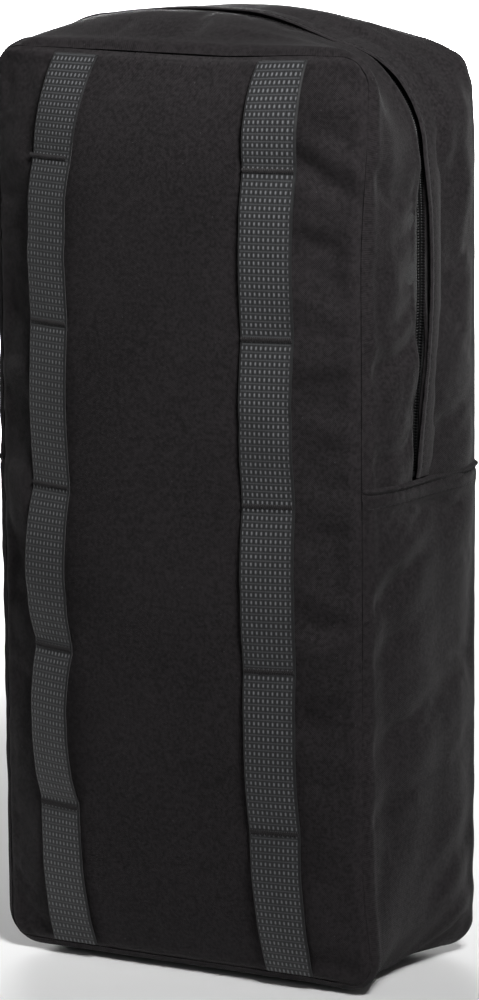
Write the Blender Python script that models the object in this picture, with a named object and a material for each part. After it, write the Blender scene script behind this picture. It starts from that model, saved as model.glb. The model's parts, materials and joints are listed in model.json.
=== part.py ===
"""Tall zipped side pouch in black coated nylon, with two webbing ladders on its front.

Metres, +Z up, the front faces -Y. The origin is at the centre of the base. The upper front, called
the lid, folds forward about a line through the two lower ends of the zip.
"""

import math

import bmesh
import bpy
from mathutils import Vector

# ---------------------------------------------------------------- driving dimensions, in metres
SEAM_WIDTH = 0.204  # between the side seams
SEAM_HEIGHT = 0.450  # between the bottom and top seams
SEAM_DEPTH = 0.102  # from the front seam to the outer face of the back
SEAM_CORNER = 0.013  # corner radius of the front and back panels
CORNER_STEPS = 6  # facets round each corner, the same on every piece so that they stay parallel

CLOTH = 0.0014  # coated nylon with its seam allowance pressed flat
GAP = 0.0003  # between pieces that touch

SIDE_SWELL = 0.008  # how far the stuffed sides stand out beyond the seams
LOW_SIDE_SWELL = 0.004  # the same, just above the bottom corners
TOP_SWELL = 0.006
TOP_CROWN = 0.004  # further rise at the middle of the top
BASE_SWELL = 0.005  # the base hangs this far below the bottom seams
TOP_BEND = 0.045  # corner radius of the top at the zip
BASE_BEND = 0.030  # corner radius of the base at mid depth
FRONT_SWELL = 0.0245  # how far the front panel bulges at its middle
TOP_FULLNESS = 8.0  # power of the bulge towards the top seam
BASE_FULLNESS = 3.6  # power of the bulge towards the bottom seam

SEAM_TO_ZIP = 0.047  # from the front seam back to the middle of the zip
MID_SEAM = 0.249  # height of the side seam where the zip ends
LAP = 0.012  # the lower gusset's folded top edge
LAP_STEP = 0.006  # length over which that edge rises over the upper gusset
FOLD = 0.085  # height of the lid's soft bending zone above the side seam

COIL_WIDTH = 0.0028
COIL_THICK = 0.0020
COIL_GAP = 0.0014  # between the two rows, where the slider's post runs
TAPE_WIDTH = 0.012
TAPE_THICK = 0.0008
LIP_NARROW = 0.0026  # cloth edge to zip middle, over the top and the right side
LIP_WIDE = 0.0058  # the same down the left side, where the slider stands
FLAP_WIDTH = 0.0105  # from the flap's seam to its free edge on the right
FLAP_SEAM = 0.0115  # from the zip middle back to the flap's seam
FLAP_THICK = 0.0018
FLAP_LIFT = 0.0008
STOP_LENGTH = 0.0022
ZIP_END = 0.003  # the coil ends this far above the side seam

SLIDER_LENGTH = 0.013
SLIDER_WIDTH = 0.0090
PLATE = 0.0010
SLIDER_CLEAR = 0.0003
POST_LENGTH = 0.003  # the post that parts the two rows of coil
POST_SET = 0.001  # from the slider's nose back to the post
SLIDER_PARK = 0.028  # slider's middle above the side seam
BAIL_WIDTH = 0.0022
BAIL_THICK = 0.0011
BAIL_HEIGHT = 0.0042
BAIL_LENGTH = 0.0095
PULL_LENGTH = 0.024
PULL_WIDTH = 0.0062
PULL_THICK = 0.0012
PULL_BAR = 0.0012  # the pull's cross bar under the bail
PULL_EYE = 0.0072  # length of the hole that goes round the bail, so that the pull can swing up past it

WEB_WIDTH = 0.025
WEB_THICK = 0.0015
WEB_CENTRE = 0.061  # from the middle of the front
TACKS = 5
TACK_FROM_BASE = 0.0755  # lowest tack above the bottom seam
TACK_FROM_TOP = 0.0545  # highest tack below the top seam; the others are evenly spaced
TACK_HEIGHT = 0.0026
TACK_THICK = 0.0008
WEB_RISE = 0.0022  # how far a slack loop arches off the panel
OPEN_RISE = 0.0092  # the same for the two loops that stand open
WEB_SEAT = 0.0006  # web to panel at a tack
TACK_FLAT = 0.003  # half the stretch of web held flat by each tack
OPEN_LOOPS = (1, 2)  # counted from the base, on the left ladder
LOOP_ROWS = 7

STIFFENER = 0.0025
STIFFENER_INSET = 0.008
STIFFENER_CORNER = 0.020
LINING = 0.0008
LINING_INSET = 0.0026
LINING_CORNER = 0.028  # the gusset's corners are already wider here than at the seam
BINDING_DEPTH = 0.009
BINDING_THICK = 0.0012
BINDING_CLEAR = 0.0004  # from the gusset's inner face to the binding
WEB_END = 0.003  # the webbing stops this far inside the top and bottom seams

# ---------------------------------------------------------------- places that follow from them
HALF = SEAM_WIDTH / 2
FRONT = -SEAM_DEPTH / 2
BACK = SEAM_DEPTH / 2
ZIP = FRONT + SEAM_TO_ZIP
LOW = BASE_SWELL
HIGH = LOW + SEAM_HEIGHT
FOLD_TOP = MID_SEAM + FOLD
COIL_DEPTH = CLOTH + GAP  # the coil lies under the cloth
COIL_MID = COIL_DEPTH + COIL_THICK / 2
TAPE_DEPTH = COIL_MID - TAPE_THICK / 2
BACK_INNER = BACK - CLOTH - GAP - STIFFENER - GAP - LINING


def clear_scene():
    for obj in list(bpy.data.objects):
        bpy.data.objects.remove(obj, do_unlink=True)


def finish(name, colour, roughness, metallic=0.0):
    """A plain coloured material."""
    material = bpy.data.materials.new(name)
    material.use_nodes = True
    shader = material.node_tree.nodes["Principled BSDF"]
    shader.inputs["Base Color"].default_value = (*colour, 1.0)
    shader.inputs["Roughness"].default_value = roughness
    shader.inputs["Metallic"].default_value = metallic
    return material


def add_object(name, mesh_build, material, place=(0.0, 0.0, 0.0)):
    """Turns a bmesh into a named object with its normals facing out."""
    bmesh.ops.recalc_face_normals(mesh_build, faces=mesh_build.faces)
    mesh = bpy.data.meshes.new(name)
    mesh_build.to_mesh(mesh)
    mesh_build.free()
    mesh.shade_smooth()
    mesh.set_sharp_from_angle(angle=math.radians(40))
    mesh.materials.append(material)
    obj = bpy.data.objects.new(name, mesh)
    obj.location = place
    bpy.context.scene.collection.objects.link(obj)
    return obj


def layer(name, outer, inner, material):
    """A closed solid between two grids of points of the same size."""
    build = bmesh.new()
    rows = len(outer)
    columns = len(outer[0])
    skins = []
    for grid in (outer, inner):
        skins.append([[build.verts.new(point) for point in row] for row in grid])
    front, rear = skins
    for i in range(rows - 1):
        for j in range(columns - 1):
            for skin in skins:
                build.faces.new((skin[i][j], skin[i + 1][j], skin[i + 1][j + 1], skin[i][j + 1]))
        for j in (0, columns - 1):
            build.faces.new((front[i][j], front[i + 1][j], rear[i + 1][j], rear[i][j]))
    for i in (0, rows - 1):
        for j in range(columns - 1):
            build.faces.new((front[i][j], front[i][j + 1], rear[i][j + 1], rear[i][j]))
    return add_object(name, build, material)


def steps(start, end, count):
    return [start + (end - start) * i / count for i in range(count + 1)]


def quarter_turn():
    return steps(0, math.pi / 2, CORNER_STEPS)


# ---------------------------------------------------------------- the shape of the stuffed pouch
# Share of the depth from front seam to back, and how full the gusset is there.
SWELL_SHAPE = (
    (0.0, 0.0),
    (0.10, 0.58),
    (0.21, 0.90),
    (0.32, 1.0),
    (0.66, 1.0),
    (0.79, 0.86),
    (0.91, 0.5),
    (1.0, 0.0),
)


def swell_at(y):
    """How full the gusset is at this depth: 0 at the seams, 1 around the zip."""
    share = min(max((y - FRONT) / SEAM_DEPTH, 0.0), 1.0)
    for (a, low), (b, high) in zip(SWELL_SHAPE, SWELL_SHAPE[1:]):
        if share <= b:
            return low + (high - low) * (share - a) / (b - a)
    return 0.0


def depth_rows(start, end):
    """Depths from start to end, with one wherever the gusset's curve has a point."""
    points = [FRONT + share * SEAM_DEPTH for share, _ in SWELL_SHAPE]
    return [start] + [y for y in points if start + 0.001 < y < end - 0.001] + [end]


def upper_hoop(low, sides=4, top=8):
    """Stations up the left side from a height, over the top and down the right side."""
    stations = [("side", -1, low, share) for share in steps(0, 1, sides)]
    stations += [("bend", -1, 0, math.pi - angle) for angle in quarter_turn()[1:]]
    stations += [("top", 0, 0, share) for share in steps(-1, 1, top)[1:]]
    stations += [("bend", 1, 0, math.pi / 2 - angle) for angle in quarter_turn()[1:]]
    stations += [("side", 1, low, 1 - share) for share in steps(0, 1, sides)[1:]]
    return stations


def upper_point(station, y, inward):
    """A point of the upper half at this depth, this far in from the outer surface."""
    kind, side, low, value = station
    full = swell_at(y)
    half = HALF + SIDE_SWELL * full
    radius = SEAM_CORNER + (TOP_BEND - SEAM_CORNER) * full
    high = HIGH + TOP_SWELL * full
    if kind == "side":
        return Vector((side * (half - inward), y, low + (high - radius - low) * value))
    if kind == "bend":
        reach = radius - inward
        centre = (side * (half - radius), high - radius)
        return Vector((centre[0] + reach * math.cos(value), y, centre[1] + reach * math.sin(value)))
    crown = TOP_CROWN * full * (1 - value * value)
    return Vector((value * (half - radius), y, high + crown - inward))


def lower_hoop(high, sides=6, base=6):
    """Stations down the left side from a height, under the base and up the right side."""
    stations = [("side", -1, high, share) for share in steps(0, 1, sides)]
    stations += [("bend", -1, 0, math.pi + angle) for angle in quarter_turn()[1:]]
    stations += [("base", 0, 0, share) for share in steps(-1, 1, base)[1:]]
    stations += [("bend", 1, 0, angle - math.pi / 2) for angle in quarter_turn()[1:]]
    stations += [("side", 1, high, 1 - share) for share in steps(0, 1, sides)[1:]]
    return stations


def low_half(z, full):
    """Half the width of the lower half at this height and fullness."""
    climb = min(max((z - LOW) / (MID_SEAM - LAP - LOW), 0.0), 1.0)
    return HALF + (LOW_SIDE_SWELL + (SIDE_SWELL - LOW_SIDE_SWELL) * climb) * full


def lower_point(station, y, inward):
    """A point of the lower half at this depth, this far in from the outer surface."""
    kind, side, high, value = station
    full = swell_at(y)
    radius = SEAM_CORNER + (BASE_BEND - SEAM_CORNER) * full
    low = LOW - BASE_SWELL * full
    if kind == "side":
        z = high + (low + radius - high) * value
        return Vector((side * (low_half(z, full) - inward), y, z))
    half = low_half(low + radius, full)
    if kind == "bend":
        reach = radius - inward
        centre = (side * (half - radius), low + radius)
        return Vector((centre[0] + reach * math.cos(value), y, centre[1] + reach * math.sin(value)))
    return Vector((value * (half - radius), y, low + inward))


def bulge(x, z):
    """How far the front panel stands forward of the front seam."""
    middle = (LOW + HIGH) / 2
    share = (z - middle) / (SEAM_HEIGHT / 2)
    power = TOP_FULLNESS if share > 0 else BASE_FULLNESS
    across = 1 - min(abs(x) / HALF, 1.0) ** 2
    return FRONT_SWELL * across * (1 - min(abs(share), 1.0) ** power)


def half_width(z, inset, radius):
    """Half the width of a round-cornered panel at this height, inset from the seam line."""
    edge = HALF - inset
    for corner in (HIGH - inset - radius, LOW + inset + radius):
        away = z - corner if corner > (LOW + HIGH) / 2 else corner - z
        if away > 0:
            return edge - radius + math.sqrt(max(radius * radius - away * away, 0.0))
    return edge


def panel_heights(low, high, inset, radius, count):
    """Row heights of a panel, with extra rows round any corner it has."""
    rises = [radius * (1 - math.cos(angle)) for angle in quarter_turn()[:-1]]
    below = []
    above = []
    if low <= LOW + inset:
        low = LOW + inset
        below = [low + rise for rise in rises]
        low += radius
    if high >= HIGH - inset:
        high = HIGH - inset
        above = [high - rise for rise in reversed(rises)]
        high -= radius
    return below + steps(low, high, count) + above


def panel(name, low, high, inset, radius, y_outer, y_inner, material, count, columns):
    """A round-cornered panel between two surfaces given as functions of x and z."""
    outer = []
    inner = []
    for z in panel_heights(low, high, inset, radius, count):
        half = half_width(z, inset, radius)
        places = [share * half for share in steps(-1, 1, columns)]
        outer.append([Vector((x, y_outer(x, z), z)) for x in places])
        inner.append([Vector((x, y_inner(x, z), z)) for x in places])
    return layer(name, outer, inner, material)


# ---------------------------------------------------------------- cloth panels
def back_parts(cloth, foam, lining):
    inset = CLOTH + GAP
    sheet_back = BACK - CLOTH - GAP
    core_back = sheet_back - STIFFENER - GAP
    sheets = (
        ("back_panel", inset, SEAM_CORNER - inset, BACK, BACK - CLOTH, cloth),
        ("back_stiffener", STIFFENER_INSET, STIFFENER_CORNER, sheet_back, sheet_back - STIFFENER, foam),
        ("back_lining", LINING_INSET, LINING_CORNER, core_back, BACK_INNER, lining),
    )
    for name, edge, corner, y_out, y_in, material in sheets:
        panel(
            name, LOW, HIGH, edge, corner,
            lambda x, z, y=y_out: y,
            lambda x, z, y=y_in: y,
            material, 1, 2,
        )


def front_parts(cloth):
    inset = CLOTH + GAP
    spans = (
        ("front_panel_lower", LOW, MID_SEAM, 9),
        ("front_panel_fold", MID_SEAM + GAP, FOLD_TOP - GAP, 4),
        ("front_panel_upper", FOLD_TOP, HIGH, 7),
    )
    for name, low, high, count in spans:
        panel(
            name, low, high, inset, SEAM_CORNER - inset,
            lambda x, z: FRONT - bulge(x, z),
            lambda x, z: FRONT - bulge(x, z) + CLOTH,
            cloth, count, 12,
        )


def lip_at(station):
    """From the zip's middle to the cloth edge: wide down the left side, narrow elsewhere."""
    kind, side, _, value = station
    if side < 0 and kind == "side":
        return LIP_WIDE
    if side < 0 and kind == "bend":
        share = (math.pi - value) / (math.pi / 2)
        return LIP_WIDE + (LIP_NARROW - LIP_WIDE) * share
    return LIP_NARROW


def side_strip(name, side, low, high, y_span, inward, thick, material, count=4):
    """A strip of the upper side between two heights."""
    outer = []
    inner = []
    for z in steps(low, high, count):
        station = ("side", side, z, 0.0)
        rows = depth_rows(*y_span)
        outer.append([upper_point(station, y, inward) for y in rows])
        inner.append([upper_point(station, y, inward + thick) for y in rows])
    return layer(name, outer, inner, material)


def band_shares(near, far, low):
    """Where a band has its rows, as shares of its width: wherever the gusset's curve bends."""
    station = ("side", 1, low, 0.0)
    start, end = near(station), far(station)
    return [(y - start) / (end - start) for y in depth_rows(start, end)]


def upper_band(name, low, near, far, inward, thick, material):
    """A band over the top whose two edges are functions of the station."""
    outer = []
    inner = []
    shares = band_shares(near, far, low)
    for station in upper_hoop(low):
        start, end = near(station), far(station)
        rows = [start + (end - start) * share for share in shares]
        outer.append([upper_point(station, y, inward) for y in rows])
        inner.append([upper_point(station, y, inward + thick) for y in rows])
    return layer(name, outer, inner, material)


def gussets(cloth):
    tuck = MID_SEAM - LAP + LAP_STEP + GAP
    upper_band(
        "rear_gusset", tuck,
        lambda s: ZIP + lip_at(s), lambda s: BACK,
        0.0, CLOTH, cloth,
    )
    upper_band(
        "front_gusset", FOLD_TOP,
        lambda s: FRONT, lambda s: ZIP - lip_at(s),
        0.0, CLOTH, cloth,
    )
    for name, side, lip in (("left", -1, LIP_WIDE), ("right", 1, LIP_NARROW)):
        side_strip(
            f"gusset_fold_{name}", side, tuck, FOLD_TOP - GAP,
            (FRONT, ZIP - lip), 0.0, CLOTH, cloth,
        )
    lower_gusset(cloth)


def lower_gusset(cloth):
    """The lower gusset, whose folded top edge laps over the upper gusset's ends."""
    rise = CLOTH + GAP
    lap = (MID_SEAM, MID_SEAM - LAP + LAP_STEP)
    rows = depth_rows(FRONT, BACK)
    outer = []
    inner = []
    body = [(station, 0.0) for station in lower_hoop(MID_SEAM - LAP)]
    left = [(("side", -1, z, 0.0), rise) for z in lap]
    right = [(("side", 1, z, 0.0), rise) for z in reversed(lap)]
    for station, out in left + body + right:
        outer.append([lower_point(station, y, -out) for y in rows])
        inner.append([lower_point(station, y, CLOTH - out) for y in rows])
    layer("lower_gusset", outer, inner, cloth)


# ---------------------------------------------------------------- bindings inside the seams
def bindings(tape):
    inward = CLOTH + GAP + BINDING_CLEAR
    front = (FRONT + CLOTH + GAP, FRONT + CLOTH + GAP + BINDING_DEPTH)
    back = (BACK_INNER - GAP - BINDING_DEPTH, BACK_INNER - GAP)

    def hoop(name, stations, point, span):
        rows = depth_rows(*span)
        outer = [[point(s, y, inward) for y in rows] for s in stations]
        inner = [[point(s, y, inward + BINDING_THICK) for y in rows] for s in stations]
        layer(name, outer, inner, tape)

    hoop("front_binding_upper", upper_hoop(FOLD_TOP), upper_point, front)
    hoop("front_binding_lower", lower_hoop(MID_SEAM - LAP), lower_point, front)
    hoop("back_binding_upper", upper_hoop(MID_SEAM), upper_point, back)
    hoop("back_binding_lower", lower_hoop(MID_SEAM - GAP), lower_point, back)
    for name, side in (("left", -1), ("right", 1)):
        side_strip(
            f"binding_fold_{name}", side, MID_SEAM - LAP + GAP, FOLD_TOP - GAP,
            front, inward, BINDING_THICK, tape,
        )


# ---------------------------------------------------------------- zip
def zip_parts(tape, coil, metal, cloth):
    start = MID_SEAM + ZIP_END
    near_edge = COIL_GAP / 2
    tape_edge = near_edge + COIL_WIDTH + GAP
    spans = {
        "tape": (tape_edge, tape_edge + TAPE_WIDTH, TAPE_DEPTH, TAPE_THICK, tape),
        "coil": (near_edge, near_edge + COIL_WIDTH, COIL_DEPTH, COIL_THICK, coil),
    }
    for kind, (inner_edge, outer_edge, inward, thick, material) in spans.items():
        upper_band(
            f"zip_{kind}_rear", start,
            lambda s, y=ZIP + inner_edge: y, lambda s, y=ZIP + outer_edge: y,
            inward, thick, material,
        )
        upper_band(
            f"zip_{kind}_front", FOLD_TOP,
            lambda s, y=ZIP - outer_edge: y, lambda s, y=ZIP - inner_edge: y,
            inward, thick, material,
        )
        for name, side in (("left", -1), ("right", 1)):
            side_strip(
                f"zip_{kind}_fold_{name}", side, start, FOLD_TOP - GAP,
                (ZIP - outer_edge, ZIP - inner_edge), inward, thick, material,
            )
    for name, side in (("left", -1), ("right", 1)):
        side_strip(
            f"zip_stop_{name}", side, start - GAP - STOP_LENGTH, start - GAP,
            (ZIP - near_edge - COIL_WIDTH, ZIP + near_edge + COIL_WIDTH),
            COIL_DEPTH, COIL_THICK, metal, count=1,
        )
    upper_band(
        "zip_flap", MID_SEAM + GAP,
        lambda s: ZIP + FLAP_SEAM - FLAP_WIDTH + (lip_at(s) - LIP_NARROW), lambda s: ZIP + FLAP_SEAM,
        -FLAP_LIFT - FLAP_THICK, FLAP_THICK, cloth,
    )


def add_block(build, low, high):
    """Adds an axis-aligned block to a bmesh."""
    for vert in bmesh.ops.create_cube(build, size=1.0)["verts"]:
        for axis in range(3):
            middle = (low[axis] + high[axis]) / 2
            vert.co[axis] = middle + vert.co[axis] * (high[axis] - low[axis])


def join(name, blocks, material, place):
    """A union of blocks as one solid, the first block carrying the others' Booleans."""
    objects = []
    for index, (low, high) in enumerate(blocks):
        build = bmesh.new()
        add_block(build, low, high)
        piece = name if index == 0 else f"{name}_block_{index}"
        objects.append(add_object(piece, build, material, place))
    for other in objects[1:]:
        other.hide_render = True
        other.display_type = "WIRE"
        union = objects[0].modifiers.new(other.name, "BOOLEAN")
        union.operation = "UNION"
        union.object = other


def slider_parts(metal):
    """The slider on the left side: body, bail and pull, each placed from the zip's own surface."""
    surface = upper_point(("side", -1, MID_SEAM, 0.0), ZIP, COIL_MID)
    place = (surface.x, ZIP, MID_SEAM + SLIDER_PARK)
    reach = COIL_THICK / 2 + SLIDER_CLEAR
    wide = SLIDER_WIDTH / 2
    long = SLIDER_LENGTH / 2
    post = COIL_GAP / 2 - SLIDER_CLEAR
    post_end = long - POST_SET
    post_start = post_end - POST_LENGTH
    join(
        "zip_slider",
        (
            ((-reach - PLATE, -wide, -long), (-reach, wide, long)),
            ((reach, -wide, -long), (reach + PLATE, wide, long)),
            ((-reach - PLATE / 2, -post, post_start), (reach + PLATE / 2, post, post_end)),
        ),
        metal, place,
    )
    foot = -reach - PLATE - GAP
    crest = foot - BAIL_HEIGHT
    half_bail = BAIL_LENGTH / 2
    side = BAIL_WIDTH / 2
    join(
        "slider_bail",
        (
            ((crest, -side, -half_bail), (crest + BAIL_THICK, side, half_bail)),
            ((crest + BAIL_THICK / 2, -side, half_bail - BAIL_THICK), (foot, side, half_bail)),
            ((crest + BAIL_THICK / 2, -side, -half_bail), (foot, side, BAIL_THICK - half_bail)),
        ),
        metal, place,
    )
    pivot_x = (foot + crest + BAIL_THICK) / 2
    pivot_z = BAIL_THICK - half_bail + GAP + PULL_BAR  # the bar hangs at the bottom of the bail
    arm = side + GAP
    half_pull = PULL_WIDTH / 2
    thick = PULL_THICK / 2
    bar = PULL_BAR / 2
    join(
        "zip_pull",
        (
            ((-thick, -half_pull, -PULL_LENGTH), (thick, half_pull, -PULL_EYE)),
            ((-thick, -half_pull, -PULL_EYE - bar), (thick, -arm, bar)),
            ((-thick, arm, -PULL_EYE - bar), (thick, half_pull, bar)),
            ((-bar, -half_pull + bar / 2, -bar), (bar, half_pull - bar / 2, bar)),
        ),
        metal, (place[0] + pivot_x, ZIP, place[2] + pivot_z),
    )


# ---------------------------------------------------------------- webbing ladders
def tack_heights():
    return steps(LOW + TACK_FROM_BASE, HIGH - TACK_FROM_TOP, TACKS - 1)


def loop_spans():
    """The low and high end of each slack loop, between the flat stretches that are tacked down."""
    ends = [LOW] + tack_heights() + [HIGH]
    return [(low + TACK_FLAT, high - TACK_FLAT) for low, high in zip(ends, ends[1:])]


def web_rise(z, open_loops):
    """How far the web stands off the panel: down at each tack, arched between them."""
    for index, (low, high) in enumerate(loop_spans()):
        if low < z < high:
            share = (z - low) / (high - low)
            rise = OPEN_RISE if open_loops and index in OPEN_LOOPS else WEB_RISE
            return WEB_SEAT + rise * math.sin(math.pi * share) ** 0.8
    return WEB_SEAT


def web_heights(low, high):
    """Row heights from low to high that keep each loop's ends and divide each loop evenly."""
    heights = []
    for start, end in loop_spans():
        heights += steps(start, end, LOOP_ROWS)
    return [low] + [z for z in heights if low + GAP < z < high - GAP] + [high]


def web_surface(x, z, open_loops, out):
    """The y of the web's inner surface, moved out by a distance."""
    return FRONT - bulge(x, z) - web_rise(z, open_loops) - out


def ladders(web, thread):
    spans = (
        ("lower", LOW + WEB_END, MID_SEAM),
        ("fold", MID_SEAM + GAP, FOLD_TOP - GAP),
        ("upper", FOLD_TOP, HIGH - WEB_END),
    )
    for side_name, side in (("left", -1), ("right", 1)):
        open_loops = side < 0
        places = [side * WEB_CENTRE + share * WEB_WIDTH for share in (-0.5, 0.0, 0.5)]
        for name, low, high in spans:
            outer = []
            inner = []
            for z in web_heights(low, high):
                outer.append([Vector((x, web_surface(x, z, open_loops, WEB_THICK), z)) for x in places])
                inner.append([Vector((x, web_surface(x, z, open_loops, 0.0), z)) for x in places])
            layer(f"ladder_{side_name}_{name}", outer, inner, web)
        for number, height in enumerate(tack_heights(), start=1):
            outer = []
            inner = []
            near = WEB_THICK + GAP
            far = near + TACK_THICK
            for z in (height - TACK_HEIGHT / 2, height + TACK_HEIGHT / 2):
                outer.append([Vector((x, web_surface(x, z, open_loops, far), z)) for x in places])
                inner.append([Vector((x, web_surface(x, z, open_loops, near), z)) for x in places])
            layer(f"bartack_{side_name}_{number}", outer, inner, thread)


def build_pouch():
    clear_scene()
    cloth = finish("shell_cloth", (0.016, 0.017, 0.019), 0.72)
    web = finish("webbing", (0.040, 0.043, 0.046), 0.66)
    tape = finish("binding_tape", (0.022, 0.022, 0.024), 0.75)
    coil = finish("zip_coil", (0.012, 0.012, 0.013), 0.38)
    metal = finish("slider_paint", (0.020, 0.020, 0.021), 0.35, 0.6)
    thread = finish("thread", (0.015, 0.015, 0.016), 0.60)
    foam = finish("stiffener", (0.050, 0.050, 0.052), 0.85)
    lining = finish("lining_cloth", (0.030, 0.031, 0.033), 0.60)
    back_parts(cloth, foam, lining)
    front_parts(cloth)
    gussets(cloth)
    bindings(tape)
    zip_parts(tape, coil, metal, cloth)
    slider_parts(metal)
    ladders(web, thread)


build_pouch()
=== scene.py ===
import json
import math

import bmesh
import bpy
import numpy as np
from mathutils import Matrix, Vector


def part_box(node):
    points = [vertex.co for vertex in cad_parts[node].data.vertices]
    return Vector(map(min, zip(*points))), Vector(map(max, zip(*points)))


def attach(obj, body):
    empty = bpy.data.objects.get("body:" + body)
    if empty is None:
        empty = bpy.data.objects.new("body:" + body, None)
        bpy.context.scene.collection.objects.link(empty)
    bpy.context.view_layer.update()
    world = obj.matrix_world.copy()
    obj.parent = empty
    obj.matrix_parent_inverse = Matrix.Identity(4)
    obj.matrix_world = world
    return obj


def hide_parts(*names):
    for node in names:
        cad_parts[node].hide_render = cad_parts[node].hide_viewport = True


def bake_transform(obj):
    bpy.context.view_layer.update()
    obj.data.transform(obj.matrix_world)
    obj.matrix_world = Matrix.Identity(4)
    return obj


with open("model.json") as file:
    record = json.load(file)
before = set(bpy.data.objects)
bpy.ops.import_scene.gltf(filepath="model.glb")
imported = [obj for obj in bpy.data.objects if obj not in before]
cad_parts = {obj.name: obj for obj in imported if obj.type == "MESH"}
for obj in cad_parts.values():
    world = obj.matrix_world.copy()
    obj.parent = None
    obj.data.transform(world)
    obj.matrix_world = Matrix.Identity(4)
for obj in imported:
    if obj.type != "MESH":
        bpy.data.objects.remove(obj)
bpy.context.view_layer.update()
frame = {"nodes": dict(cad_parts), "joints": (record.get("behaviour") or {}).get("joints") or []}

# ------------------------------------------------------------------------------- front panel
# The front is one panel of plain-woven nylon, coated on the inside, about 20 by 45 cm. It is sewn
# inside out to the gusset all round, turned, and pushed out by what the pouch holds. It bends
# forward with the lid above the side seams.
back_low, back_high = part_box("back_panel")
low_gusset_low, low_gusset_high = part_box("lower_gusset")
CLOTH = back_high.y - back_low.y
SEAM_GAP = 0.0003
SEAM_INSET = CLOTH + SEAM_GAP
HALF = back_high.x + SEAM_INSET
LOW = back_low.z - SEAM_INSET
HIGH = back_high.z + SEAM_INSET
BACK = back_high.y
FRONT = low_gusset_low.y
DEPTH = BACK - FRONT
MIDDLE = (LOW + HIGH) / 2
MID_SEAM = low_gusset_high.z
PANEL_INSET = SEAM_INSET - 0.0011
PANEL_CORNER = 0.013
FRONT_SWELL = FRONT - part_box("front_panel_lower")[0].y
TOP_FULLNESS = 8.0
BASE_FULLNESS = 3.6
SIDE_FULLNESS = 2.6
ZIP = next(joint for joint in frame["joints"] if joint["name"] == "lid_fold")["pos_m"][1]


def smooth_step(value, start, end):
    """0 before start, 1 after end, with a soft turn between them."""
    share = np.clip((value - start) / (end - start), 0.0, 1.0)
    return share * share * (3 - 2 * share)


def hump(value, centre, width):
    """A bell of height 1 round a centre."""
    return np.exp(-(((value - centre) / width) ** 2))


def lumps(across, along, size, seed):
    """Soft random hills and hollows between -1 and 1, about this size in metres."""
    lattice = np.random.default_rng(seed).uniform(-1, 1, (97, 97))
    u = across / size + 31.7
    v = along / size + 17.3
    i = np.floor(u).astype(int)
    j = np.floor(v).astype(int)
    a = u - i
    b = v - j
    a = a * a * (3 - 2 * a)
    b = b * b * (3 - 2 * b)
    near = lattice[i % 97, j % 97] * (1 - a) + lattice[(i + 1) % 97, j % 97] * a
    far = lattice[i % 97, (j + 1) % 97] * (1 - a) + lattice[(i + 1) % 97, (j + 1) % 97] * a
    return near * (1 - b) + far * b


def bulge(x, z):
    """How far the stuffed front stands forward of the front seam."""
    share = np.clip((z - MIDDLE) / ((HIGH - LOW) / 2), -1, 1)
    power = np.where(share > 0, TOP_FULLNESS, BASE_FULLNESS)
    across = 1 - np.clip(np.abs(x) / HALF, 0, 1) ** SIDE_FULLNESS
    return FRONT_SWELL * across * (1 - np.abs(share) ** power)


def half_width(z, inset):
    """Half the width of a round-cornered panel at a height."""
    radius = PANEL_CORNER - inset
    away = np.maximum(z - (HIGH - PANEL_CORNER), (LOW + PANEL_CORNER) - z)
    round_off = radius - np.sqrt(np.clip(radius**2 - np.clip(away, 0, radius) ** 2, 0, None))
    return HALF - inset - round_off


def slump(points):
    """How the standing pouch has settled: small shifts that every sewn piece shares."""
    settled = points.copy()
    x, y, z = points[..., 0], points[..., 1], points[..., 2]
    near_front = 1 - smooth_step(y, FRONT - 0.004, FRONT + 0.030)
    left_and_middle = 1 - smooth_step(x, 0.02, 0.085)
    settled[..., 2] -= 0.0030 * near_front * left_and_middle * smooth_step(z, HIGH - 0.06, HIGH)
    right_foot = smooth_step(x, HALF - 0.035, HALF) * (1 - smooth_step(z, LOW, LOW + 0.06))
    right_head = smooth_step(x, HALF - 0.045, HALF) * smooth_step(z, HIGH - 0.105, HIGH - 0.015)
    settled[..., 0] += 0.0048 * near_front * (right_foot + right_head)
    settled[..., 2] -= 0.0015 * near_front * right_foot
    behind_seam = smooth_step(y, FRONT + 0.004, FRONT + 0.034)
    shoulder = smooth_step(x, 0.010, 0.078) * smooth_step(z, HIGH - 0.085, HIGH - 0.015)
    towards_back = smooth_step(y, ZIP + 0.003, ZIP + 0.028)
    settled[..., 2] -= 0.0085 * behind_seam * shoulder * (1 - 0.85 * towards_back)
    settled[..., 0] -= 0.0030 * behind_seam * shoulder * (1 - towards_back)
    back_head = smooth_step(x, HALF - 0.040, HALF) * smooth_step(z, HIGH - 0.060, HIGH - 0.012)
    settled[..., 0] += 0.0030 * towards_back * back_head
    back_corner = smooth_step(x, 0.055, 0.100) * smooth_step(z, HIGH - 0.06, HIGH - 0.01)
    settled[..., 2] -= 0.0050 * towards_back * back_corner
    on_top = smooth_step(z, HIGH - 0.030, HIGH - 0.004)
    settled[..., 2] += 0.0016 * behind_seam * on_top * (1 - smooth_step(np.abs(x), 0.030, 0.085))
    full_side = smooth_step(x, 0.070, 0.100) * (1 - smooth_step(z, HIGH - 0.060, HIGH - 0.008))
    settled[..., 0] += 0.0044 * full_side * smooth_step(y, ZIP + 0.004, BACK - 0.014)
    near_zip = hump(y, ZIP, 0.024)
    foot_of_zip = 1 - smooth_step(z, MID_SEAM - 0.005, MID_SEAM + 0.095)
    above_hem = smooth_step(z, MID_SEAM - 0.016, MID_SEAM - 0.006)
    settled[..., 1] -= 0.0100 * near_zip * foot_of_zip * above_hem * smooth_step(x, 0.05, 0.09)
    return settled


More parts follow.
